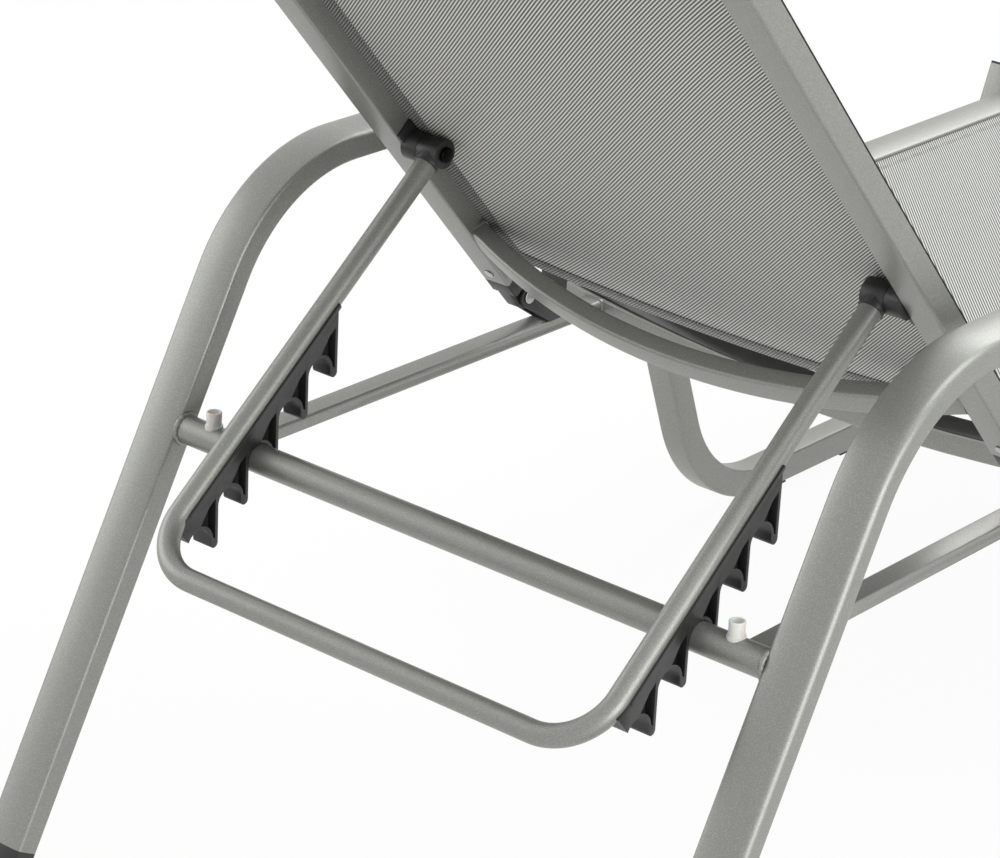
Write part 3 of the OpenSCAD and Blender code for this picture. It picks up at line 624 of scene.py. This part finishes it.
def pair(obj, kind, body, node=None):
    """Finishes a left piece and its mirrored copy, with the CAD node that each stands for."""
    twin = mirrored(obj, obj.name.replace("left", "right"))
    for piece, side in ((obj, "left"), (twin, "right")):
        done(piece, kind, body, *([f"{node}_{side}"] if node else []))


def weld_ring(name, radius, thick, x):
    """A round weld bead on a bar along x, slightly rippled."""
    rest()
    bpy.ops.mesh.primitive_torus_add(major_radius=radius, minor_radius=thick, major_segments=72,
                                     minor_segments=10, rotation=(0, math.pi / 2, 0), location=(x, 0, 0))
    obj = bpy.context.object
    obj.name = name
    bpy.ops.object.transform_apply(location=True, rotation=True, scale=True)
    edit(obj)
    choose(obj, lambda v: math.sin(18 * math.atan2(v.co.z, v.co.y)) > 0)
    bpy.ops.transform.shrink_fatten(value=0.15 * thick)
    rest()
    smooth(obj, 60)
    return obj


def weld_frame(name, depth, width, thick, matrix):
    """A weld bead round the end of a rectangular tube."""
    obj = section(name, depth + thick, width + thick, 3.5 * MM)
    follow(obj, [(2 * thick, 0)], Matrix.Identity(4))
    apply_modifier(obj, "BEVEL", width=0.7 * thick, segments=3, limit_method="ANGLE",
                   angle_limit=math.radians(60))
    place(obj, matrix)
    smooth(obj, 50)
    return obj


class LOUNGER_OT_side_frames(bpy.types.Operator):
    """Bends both side frames: front post, armrest, rear arch and rear leg from one flat tube"""
    bl_idname = "lounger.side_frames"
    bl_label = "Side frames"

    def execute(self, context):
        s = sizes()
        arm_z = s.arm_top_h - s.frame_t / 2
        arch_z = arm_z - s.arch_r
        lean = s.leg_lean
        arch_y = -(s.arch_r + (arch_z - s.cross_h) * math.sin(lean)) / math.cos(lean)
        leg_len = (arch_z + s.arch_r * math.sin(lean) - s.foot_h) / math.cos(lean)
        rail_z = s.rail_top_h - s.frame_t / 2
        steps = [(arm_z - rail_z - s.arm_front_r, 0), (s.arm_front_r, -90),
                 (s.post_run + arch_y - s.arm_front_r, 0),
                 (s.arch_r, math.degrees(lean) - 90), (leg_len, 0)]
        tube = section("side_frame_tube_left", s.frame_t, s.frame_w, CORNER, 2 * CORNER, s.crown_h)
        follow(tube, steps, side_plane((s.inner_w + s.frame_w) / 2)
               @ Matrix.Translation((-s.post_run, rail_z, 0)) @ turned(90))
        pair(tube, "silver", "base", "side_frame")
        return {"FINISHED"}


class LOUNGER_OT_cross_bar(bpy.types.Operator):
    """Round cross bar between the rear legs, with its weld beads"""
    bl_idname = "lounger.cross_bar"
    bl_label = "Cross bar"

    def execute(self, context):
        s = sizes()
        half = s.inner_w / 2
        bar = ring("cross_bar_tube", s.cross_d / 2, 64)
        follow(bar, [(s.inner_w, 0)], Matrix.Translation((-half, s.origin_y, s.cross_h)))
        done(bar, "silver", "base", "cross_bar")
        beads = [weld_ring("bead", s.cross_d / 2, 2.2 * MM, side * (half - 0.6 * MM))
                 for side in (-1, 1)]
        beads = joined(beads, "cross_bar_welds")
        place(beads, Matrix.Translation((0, s.origin_y, s.cross_h)))
        done(beads, "silver", "base")
        return {"FINISHED"}


class LOUNGER_OT_stretchers(bpy.types.Operator):
    """Level stretchers from the cross bar to the seat, with the weld beads at both ends"""
    bl_idname = "lounger.stretchers"
    bl_label = "Stretchers"

    def execute(self, context):
        s = sizes()
        x = (s.back_w + s.stile_w) / 2
        far = s.rail_start + SEAT_TUBE_SET - s.bow_w / 2
        tube = section("stretcher_tube_left", s.stretcher_t, s.stretcher_w, CORNER)
        start = side_plane(x) @ Matrix.Translation((-far, s.stretcher_top_h - s.stretcher_t / 2, 0))
        follow(tube, [(far - s.cross_d / 3, 0)], start)
        rear = side_plane(x) @ Matrix.Translation((-s.cross_d / 2 - 1 * MM,
                                                   s.stretcher_top_h - s.stretcher_t / 2, 0))
        beads = joined([
            weld_frame("bead", s.stretcher_t, s.stretcher_w, WELD, start),
            weld_frame("bead", s.stretcher_t, s.stretcher_w, WELD, rear),
        ], "stretcher_welds_left")
        pair(tube, "silver", "base", "stretcher")
        pair(beads, "silver", "base")
        return {"FINISHED"}


class LOUNGER_OT_bumpers(bpy.types.Operator):
    """Milky hollow bumpers on the cross bar"""
    bl_idname = "lounger.bumpers"
    bl_label = "Bumpers"

    def execute(self, context):
        s = sizes()
        r = s.bumper_d / 2
        base = s.cross_d / 2 - 2.5 * MM
        rest()
        bpy.ops.mesh.primitive_circle_add(vertices=48, radius=r * 1.18, fill_type="NGON",
                                          location=(0, 0, base))
        cup = bpy.context.object
        cup.name = cup.data.name = "bumper_cup_left"
        bpy.ops.object.transform_apply(location=True)
        edit(cup)
        rise = s.cross_d / 2 + s.bumper_h - base
        # Flange, step in, wall, rim, bore and floor of the bore
        for up, share in ((0.24 * rise, 1.0), (0.0, 0.83), (0.72 * rise, 1.03),
                          (0.04 * rise, 0.96), (0.0, 0.74), (-0.60 * rise, 0.94)):
            bpy.ops.mesh.extrude_region_move(TRANSFORM_OT_translate={"value": (0, 0, up)})
            bpy.ops.transform.resize(value=(share, share, 1))
        bpy.ops.mesh.select_all(action="SELECT")
        bpy.ops.mesh.remove_doubles(threshold=1e-6)
        rest()
        edit(cup)
        bpy.ops.mesh.select_all(action="DESELECT")
        bpy.ops.mesh.select_non_manifold()
        bpy.ops.mesh.edge_face_add()
        rest()
        apply_modifier(cup, "BEVEL", width=0.5 * MM, segments=3, limit_method="ANGLE",
                       angle_limit=math.radians(40))
        outward(cup)
        place(cup, Matrix.Translation(((s.back_w + s.stile_w) / 2, s.origin_y, s.cross_h)))
        smooth(cup, 50)
        twin = mirrored(cup, "bumper_cup_right")
        smooth(twin, 50)
        done(cup, "milky", "base", "bumper_left")
        done(twin, "milky", "base", "bumper_right")
        return {"FINISHED"}


class LOUNGER_OT_rails(bpy.types.Operator):
    """Seat rails with the groove that holds the sling"""
    bl_idname = "lounger.rails"
    bl_label = "Seat rails"

    def execute(self, context):
        s = sizes()
        rail_z = s.rail_top_h - s.frame_t / 2
        tube = section("seat_rail_tube_left", s.frame_t, s.frame_w, 2 * MM, 6 * MM, s.crown_h,
                       (6.6 * MM, 8.6 * MM, GROOVE_DEEP))
        follow(tube, [(s.rail_len, 0)], side_plane((s.inner_w + s.frame_w) / 2)
               @ Matrix.Translation((-s.rail_start - s.rail_len, rail_z, 0)))
        pair(tube, "silver", "base", "seat_rail")
        return {"FINISHED"}


class LOUNGER_OT_seat_tubes(bpy.types.Operator):
    """Three sagging cross tubes under the seat, and a thin black strip on the rear one that paints the
    shade under the seat sling
    """
    bl_idname = "lounger.seat_tubes"
    bl_label = "Seat cross tubes"

    def execute(self, context):
        s = sizes()
        z = s.rail_top_h - SLING_SINK - s.bow_gap - s.cad_sling_t / 2 - s.bow_t / 2
        for name, node, run in (
                ("seat_rear_tube", "seat_rear_bow", s.rail_start + SEAT_TUBE_SET),
                ("seat_middle_tube", "seat_middle_bow", s.loop_start + s.loop_span / 2),
                ("seat_foot_tube", "seat_foot_bow", s.rail_start + s.rail_len - s.bow_w)):
            tube = bowed(name, s.inner_w / 2, s.bow_drop, s.bow_t, s.bow_w,
                         Matrix.Translation((0, s.origin_y - run, z)))
            done(tube, "silver", "base", node)
        # A thin black strip on the rear tube's top face is painted shade: the seat sling above shades
        # that face.
        rear_y = s.origin_y - s.rail_start - SEAT_TUBE_SET
        strip = bowed("seat_rear_tape", s.inner_w / 2 - 12 * MM, s.bow_drop, 0.8 * MM,
                      s.bow_w - 5 * MM, Matrix.Translation((0, rear_y, z + s.bow_t / 2)))
        done(strip, "nylon", "base")
        return {"FINISHED"}


class LOUNGER_OT_leg_loops(bpy.types.Operator):
    """Leg loops bent from square tube"""
    bl_idname = "lounger.leg_loops"
    bl_label = "Leg loops"

    def execute(self, context):
        s = sizes()
        rail_z = s.rail_top_h - s.frame_t / 2
        loop_z = s.pad_t + s.loop_w / 2
        lean = s.loop_lean
        corner = (rail_z - loop_z) * math.tan(lean)
        turn = math.pi / 2 - lean
        tangent = s.loop_r * math.tan(turn / 2)
        branch = (rail_z - loop_z) / math.cos(lean) - tangent
        extra = (s.frame_t / 2 + s.crown_h + s.loop_top_gap) / math.cos(lean)
        level = s.loop_span - 2 * corner - 2 * tangent
        bend = (s.loop_r, -math.degrees(turn))
        tube = section("leg_loop_tube_left", s.loop_w, s.loop_w, CORNER)
        follow(tube, [(branch + extra, 0), bend, (level, 0), bend, (branch + extra, 0)],
               side_plane(s.inner_w / 2 + s.frame_w + s.loop_w / 2)
               @ Matrix.Translation((-s.loop_start + extra * math.sin(lean),
                                     rail_z + extra * math.cos(lean), 0))
               @ turned(-90 - math.degrees(lean)))
        pair(tube, "silver", "base", "leg_loop")
        return {"FINISHED"}


class LOUNGER_OT_stiles(bpy.types.Operator):
    """Backrest stiles with the groove that holds the sling"""
    bl_idname = "lounger.stiles"
    bl_label = "Stiles"

    def execute(self, context):
        s = sizes()
        tube = section("stile_tube_left", s.stile_t, s.stile_w, 2 * MM, 3 * MM, 0.0,
                       (8 * MM, 10 * MM, GROOVE_DEEP))
        follow(tube, [(s.stile_len, 0)], back_frame()
               @ Matrix.Translation(((s.back_w + s.stile_w) / 2, s.stile_gap, 0)) @ LIE)
        pair(tube, "silver", "backrest", "stile")
        return {"FINISHED"}


class LOUNGER_OT_back_tubes(bpy.types.Operator):
    """Bowed brace and top bar of the backrest, with the weld beads at their ends"""
    bl_idname = "lounger.back_tubes"
    bl_label = "Backrest cross tubes"

    def execute(self, context):
        s = sizes()
        top = s.stile_gap + s.stile_len - 28 * MM
        for name, node, y, z, tilt, bow in (
                ("back_brace_tube", "back_brace", s.brace_run, -s.brace_drop, s.brace_tilt, s.brace_bow),
                ("back_top_tube", "back_top_bar", top, -s.top_drop, 0.0, s.top_bow)):
            half = s.back_w / 2
            frame_at = (back_frame() @ Matrix.Translation((0, y, z))
                        @ Matrix.Rotation(tilt, 4, "X"))
            tube = bowed(name, half, bow, s.brace_t, s.brace_w, frame_at)
            done(tube, "silver", "backrest", node)
            r = (half * half + bow * bow) / (2 * bow)
            slope = math.asin((half - 2 * MM) / r)
            bead = weld_frame("bead", s.brace_t, s.brace_w, WELD, Matrix.Identity(4))
            place(bead, frame_at @ BOW @ Matrix.Translation((0, r - bow, 0))
                  @ Matrix.Rotation(slope, 4, "Z") @ Matrix.Translation((0, -r, 0)))
            beads = joined([bead, mirrored(bead, "bead_right")], name.replace("tube", "welds"))
            done(beads, "silver", "backrest")
        return {"FINISHED"}


class LOUNGER_OT_prop(bpy.types.Operator):
    """U-shaped prop bent from round tube"""
    bl_idname = "lounger.prop"
    bl_label = "Prop tube"

    def execute(self, context):
        s = sizes()
        begin = 9 * MM
        arm = s.prop_len - s.prop_corner_r - begin
        tube = ring("prop_bent_tube", s.prop_d / 2, 56)
        follow(tube, [(arm, 0), (s.prop_corner_r, 90), (s.prop_w - 2 * s.prop_corner_r, 0),
                      (s.prop_corner_r, 90), (arm, 0)],
               prop_frame() @ Matrix.Translation((s.prop_w / 2, begin, 0)) @ turned(90))
        done(tube, "silver", "prop", "prop_tube")
        return {"FINISHED"}


class LOUNGER_OT_mouldings(bpy.types.Operator):
    """Combs, hubs, bosses, brackets, end fittings, plugs, feet and pads of black nylon"""
    bl_idname = "lounger.mouldings"
    bl_label = "Mouldings"

    def execute(self, context):
        groups = (
            ("base", 0.8, ("rear_foot", "rail_plug_rear", "rail_plug_front", "loop_plug_rear",
                           "loop_plug_front", "glide_pad_rear", "glide_pad_front", "hinge_bracket")),
            ("backrest", 0.8, ("end_fitting", "stile_plug", "pivot_boss")),
            ("prop", 0.8, ("prop_hub",)),
            ("prop", 0.5, ("comb",)),
        )
        for body, width, names in groups:
            for name in names:
                for side in ("left", "right"):
                    node = f"{name}_{side}"
                    piece = eased(node, f"{name}_moulding_{side}", width * MM)
                    done(piece, "nylon", body, node)
        return {"FINISHED"}


class LOUNGER_OT_fasteners(bpy.types.Operator):
    """Bolts, pins and rivets of plated or blackened steel"""
    bl_idname = "lounger.fasteners"
    bl_label = "Fasteners"

    def execute(self, context):
        for node, body in (("leg_bolts", "base"), ("hinge_pins", "base"), ("bracket_rivets", "base"),
                           ("fitting_rivets", "backrest"), ("pivot_bolts", "backrest")):
            piece = eased(node, f"{node}_steel", 0.5 * MM)
            done(piece, "dark" if node == "pivot_bolts" else "zinc", body, node)
        return {"FINISHED"}


# Slings
def cloth_grid(name, width, y0, y1, across, along):
    """A flat grid in the plane z = 0, whose UV map holds its flat place in metres."""
    rest()
    bpy.ops.mesh.primitive_grid_add(x_subdivisions=across, y_subdivisions=along, size=1.0)
    obj = bpy.context.object
    obj.name = obj.data.name = name
    edit(obj)
    bpy.ops.transform.resize(value=(width, y1 - y0, 1))
    bpy.ops.transform.translate(value=(0, (y0 + y1) / 2, 0))
    rest()
    layer = obj.data.uv_layers.active or obj.data.uv_layers.new(name="UVMap")
    layer.name = "UVMap"
    for corner in obj.data.loops:
        layer.data[corner.index].uv = obj.data.vertices[corner.vertex_index].co.xy
    return obj


def shaped(obj, form):
    """Moves each point of a flat piece to where the form puts it."""
    edit(obj)
    mesh = bmesh.from_edit_mesh(obj.data)
    for v in mesh.verts:
        v.co = form(v.co)
    bmesh.update_edit_mesh(obj.data)
    rest()
    return obj


def stitches(name, x0, x1, y0, y1):
    """A row of stitches from one point to another in the plane z = 0."""
    s = sizes()
    run = Vector((x1 - x0, y1 - y0, 0))
    count = int(run.length / s.stitch)
    rest()
    bpy.ops.mesh.primitive_cube_add(size=1.0)
    obj = bpy.context.object
    obj.name = name
    edit(obj)
    bpy.ops.transform.resize(value=(0.68 * s.stitch, 0.75 * MM, 0.7 * MM))
    choose(obj, lambda f: abs(f.normal.x) > 0.9, "faces")
    bpy.ops.mesh.inset(thickness=0.1 * MM)
    bpy.ops.transform.resize(value=(1.0, 0.6, 0.5))
    rest()
    apply_modifier(obj, "BEVEL", width=0.2 * MM, segments=1, limit_method="ANGLE",
                   angle_limit=math.radians(50))
    apply_modifier(obj, "ARRAY", count=count, use_relative_offset=False, use_constant_offset=True,
                   constant_offset_displace=(run.length / count, 0, 0))
    turn = Matrix.Rotation(math.atan2(run.y, run.x), 4, "Z")
    half_pitch = Matrix.Translation((run.length / count / 2, 0, 0))
    place(obj, Matrix.Translation((x0, y0, 0)) @ turn @ half_pitch)
    return obj


def sling(name, body, node, matrix, half, y0, y1, rise0, rise1, dip, behind):
    """One sling: cloth, sewn hems on the side named by behind, stitches and the beads in the grooves.

    rise0 and rise1 are how far its two hems curve in at the sides, and dip is the cloth's give."""
    s = sizes()
    t = s.sling_t

    def form(p, lift=0.0):
        share = min(1.0, abs(p.x) / half)
        curve = share * share
        along = (p.y - y0) / (y1 - y0)
        y = p.y + rise0 * curve * (1 - along) - rise1 * curve * along
        give = dip * (1 - share ** 2) * math.sin(math.pi * min(1.0, max(0.0, along))) ** 0.5
        return Vector((p.x, y, p.z + lift - give))

    cloth = cloth_grid(f"{name}_cloth", 2 * (half + CLOTH_OUT), y0, y1, 48, 64)
    shaped(cloth, form)
    apply_modifier(cloth, "SOLIDIFY", thickness=t, offset=0.0, use_rim=True)
    place(cloth, matrix)
    smooth(cloth, 60)

    # Hems: the cloth folded over and sewn down
    back = behind * t
    strips = []
    for side in (-1, 1):
        strip = cloth_grid("strip", s.hem_w, y0 + 1.5 * MM, y1 - 1.5 * MM, 6, 64)
        shaped(strip, lambda p: form(Vector((p.x + side * (half - s.hem_w / 2), p.y, 0)), back))
        strips.append(strip)
    for edge, way in ((y0, 1), (y1, -1)):
        strip = cloth_grid("strip", 2 * (half - s.hem_w), edge + way * 0.5 * MM,
                           edge + way * END_HEM, 40, 5)
        if way < 0:
            outward(strip)
        shaped(strip, lambda p: form(Vector((p.x, p.y, 0)), back))
        strips.append(strip)
    hems = joined(strips, f"{name}_hems")
    apply_modifier(hems, "SOLIDIFY", thickness=t * 0.9, offset=0.0, use_rim=True)
    outward(hems)
    place(hems, matrix)
    smooth(hems, 60)

    rows = []
    for lift in (back + behind * 0.62 * t, -behind * 0.62 * t):
        for side in (-1, 1):
            for inset in SEAMS:
                x = side * (half - s.hem_w + inset)
                rows.append((stitches("row", x, x, y0 + 3 * MM, y1 - 3 * MM), lift))
        for edge, way in ((y0, 1), (y1, -1)):
            for inset in END_SEAMS:
                y = edge + way * inset
                reach = half - s.hem_w
                rows.append((stitches("row", -reach, reach, y, y), lift))
    for row, lift in rows:
        shaped(row, lambda p: form(p, lift))
    sewn = joined([row for row, _ in rows], f"{name}_stitches")
    outward(sewn)
    place(sewn, matrix)
    smooth(sewn, 60)

    beads = []
    for side in (-1, 1):
        bead = ring("bead", BEAD_R, 20)
        follow(bead, [(y1 - y0 - rise0 - rise1, 0)],
               Matrix.Translation((side * (half + BEAD_OUT), y0 + rise0, 0)) @ LIE)
        beads.append(bead)
    rods = joined(beads, f"{name}_beads")
    place(rods, matrix)

    done(cloth, "cloth", body, node)
    done(hems, "hem", body)
    done(sewn, "thread", body)
    done(rods, "nylon", body)


class LOUNGER_OT_slings(bpy.types.Operator):
    """Backrest and seat slings with hems, stitches and beads"""
    bl_idname = "lounger.slings"
    bl_label = "Slings"

    def execute(self, context):
        s = sizes()
        sling("back_sling", "backrest", "back_sling",
              back_frame() @ Matrix.Translation((0, 0, s.stile_t / 2 - SLING_SINK)),
              s.back_w / 2, 32 * MM, 716 * MM, 26 * MM, 16 * MM, 4 * MM, -1)
        near, far = s.rail_start + 8 * MM, s.rail_start + s.rail_len - 14 * MM
        sling("seat_sling", "base", "seat_sling",
              Matrix.Translation((0, s.origin_y, s.rail_top_h - SLING_SINK)),
              s.inner_w / 2, -far, -near, 10 * MM, 10 * MM, 4 * MM, -1)
        return {"FINISHED"}


def backdrop(nodes, links, x, y):
    """1 for a ray that shows the background: from the camera, mirrored in metal or let through."""
    path = add(nodes, links, "ShaderNodeLightPath", x, y)
    seen = path.outputs["Is Camera Ray"]
    for step, kind in ((1, "Is Glossy Ray"), (2, "Is Transmission Ray")):
        seen = add(nodes, links, "ShaderNodeMath", x + 200 * step, y, {0: seen, 1: path.outputs[kind]},
                   operation="MAXIMUM").outputs[0]
    return seen


class LOUNGER_OT_stage(bpy.types.Operator):
    """Plain pale floor, soft studio light and the camera"""
    bl_idname = "lounger.stage"
    bl_label = "Stage"

    def execute(self, context):
        c = colours()
        rest()
        bpy.ops.mesh.primitive_plane_add(size=60.0, location=(0, 0, 0))
        floor = bpy.context.object
        floor.name = floor.data.name = "floor"
        material, nodes, links = blank("plain pale floor")
        seen = backdrop(nodes, links, -900, 250)
        plain = add(nodes, links, "ShaderNodeBsdfPrincipled", -300, 0,
                    {"Base Color": list(c.floor), "Roughness": 0.9, "Specular IOR Level": 0.1})
        white = add(nodes, links, "ShaderNodeEmission", -300, -400,
                    {"Color": (1, 1, 1, 1), "Strength": 1.0})
        share = add(nodes, links, "ShaderNodeMath", -300, 250,
                    {0: seen, 1: 0.94}, operation="MULTIPLY")
        mixed = add(nodes, links, "ShaderNodeMixShader", 0, 0,
                    {"Fac": share.outputs[0], 1: plain.outputs["BSDF"], 2: white.outputs["Emission"]})
        add(nodes, links, "ShaderNodeOutputMaterial", 250, 0, {"Surface": mixed.outputs["Shader"]})
        floor.data.materials.append(material)

        world = bpy.data.worlds.new("soft studio")
        context.scene.world = world
        world.use_nodes = True
        nodes, links = world.node_tree.nodes, world.node_tree.links
        nodes.clear()
        seen = backdrop(nodes, links, -900, 300)
        sky = add(nodes, links, "ShaderNodeTexCoord", -1100, 0)
        up = add(nodes, links, "ShaderNodeSeparateXYZ", -900, 0, {0: sky.outputs["Generated"]})
        level = add(nodes, links, "ShaderNodeMapRange", -700, 0,
                    {"Value": up.outputs["Z"], "From Min": -1.0, "From Max": 1.0})
        dome = ramp(add(nodes, links, "ShaderNodeValToRGB", -500, 0, {"Fac": level.outputs["Result"]}),
                    (0.0, (0.42, 0.42, 0.41, 1)), (0.5, (0.50, 0.50, 0.495, 1)),
                    (0.72, (0.68, 0.68, 0.67, 1)), (1.0, (0.95, 0.95, 0.94, 1)))
        light = add(nodes, links, "ShaderNodeBackground", -200, 0,
                    {"Color": dome.outputs["Color"], "Strength": 0.75})
        white = add(nodes, links, "ShaderNodeBackground", -200, -200,
                    {"Color": (1, 1, 1, 1), "Strength": 1.0})
        shown = add(nodes, links, "ShaderNodeMixShader", 50, 0,
                    {"Fac": seen, 1: light.outputs["Background"],
                     2: white.outputs["Background"]})
        add(nodes, links, "ShaderNodeOutputWorld", 250, 0, {"Surface": shown.outputs["Shader"]})

        for name, place_at, aim, size, power in (
                ("key", (-1.6, -0.6, 3.4), (0, 0.3, 0.4), 2.4, 48.0),
                ("fill", (2.8, 1.6, 1.4), (0, 0.4, 0.4), 2.4, 26.0),
                ("side", (-3.0, 1.0, 0.9), (0, 0.4, 0.5), 2.0, 42.0),
                ("back", (0.8, -2.6, 2.6), (0, 0.2, 0.5), 2.0, 40.0)):
            rest()
            bpy.ops.object.light_add(type="AREA", location=place_at)
            lamp = bpy.context.object
            lamp.name = name
            lamp.data.shape = "DISK"
            lamp.data.size = size
            lamp.data.energy = power
            lamp.rotation_euler = (Vector(aim) - Vector(place_at)).to_track_quat("-Z", "Y").to_euler()

        rest()
        bpy.ops.object.camera_add(location=(-1.6320, 2.61766, 1.5326))
        camera = bpy.context.object
        camera.name = "camera"
        right = Vector((-0.75898, -0.64953, 0.04542))
        up = Vector((0.28675, -0.27081, 0.91893))
        away = right.cross(up)
        turn = Matrix((right, up, away)).transposed().to_4x4()
        camera.matrix_world = Matrix.Translation(camera.location) @ turn
        camera.data.lens = 128.15
        camera.data.sensor_width = 36.0
        camera.data.sensor_fit = "HORIZONTAL"
        camera.data.clip_start = 0.05
        context.scene.camera = camera
        context.scene.view_settings.view_transform = "Standard"
        return {"FINISHED"}


PIECES = (LOUNGER_OT_side_frames, LOUNGER_OT_cross_bar, LOUNGER_OT_stretchers, LOUNGER_OT_bumpers,
          LOUNGER_OT_rails, LOUNGER_OT_seat_tubes, LOUNGER_OT_leg_loops, LOUNGER_OT_stiles,
          LOUNGER_OT_back_tubes, LOUNGER_OT_prop, LOUNGER_OT_mouldings, LOUNGER_OT_fasteners,
          LOUNGER_OT_slings, LOUNGER_OT_stage)


class LOUNGER_PT_panel(bpy.types.Panel):
    """Lists the lounger's pieces"""
    bl_idname = "LOUNGER_PT_panel"
    bl_label = "Sun lounger"
    bl_space_type = "VIEW_3D"
    bl_region_type = "UI"
    bl_category = "Lounger"

    def draw(self, context):
        for piece in PIECES:
            self.layout.operator(piece.bl_idname)
        for group in (context.scene.lounger_sizes, context.scene.lounger_colours):
            column = self.layout.column()
            for key in group.__annotations__:
                column.prop(group, key)


CLASSES = (LoungerSizes, LoungerColours) + PIECES + (LOUNGER_PT_panel,)


def register():
    for cls in CLASSES:
        bpy.utils.register_class(cls)
    bpy.types.Scene.lounger_sizes = bpy.props.PointerProperty(type=LoungerSizes)
    bpy.types.Scene.lounger_colours = bpy.props.PointerProperty(type=LoungerColours)


def unregister():
    del bpy.types.Scene.lounger_colours
    del bpy.types.Scene.lounger_sizes
    for cls in reversed(CLASSES):
        bpy.utils.unregister_class(cls)


def main():
    register()
    for piece in PIECES:
        group, name = piece.bl_idname.split(".")
        getattr(getattr(bpy.ops, group), name)()
    rest()


if __name__ == "__main__":
    main()
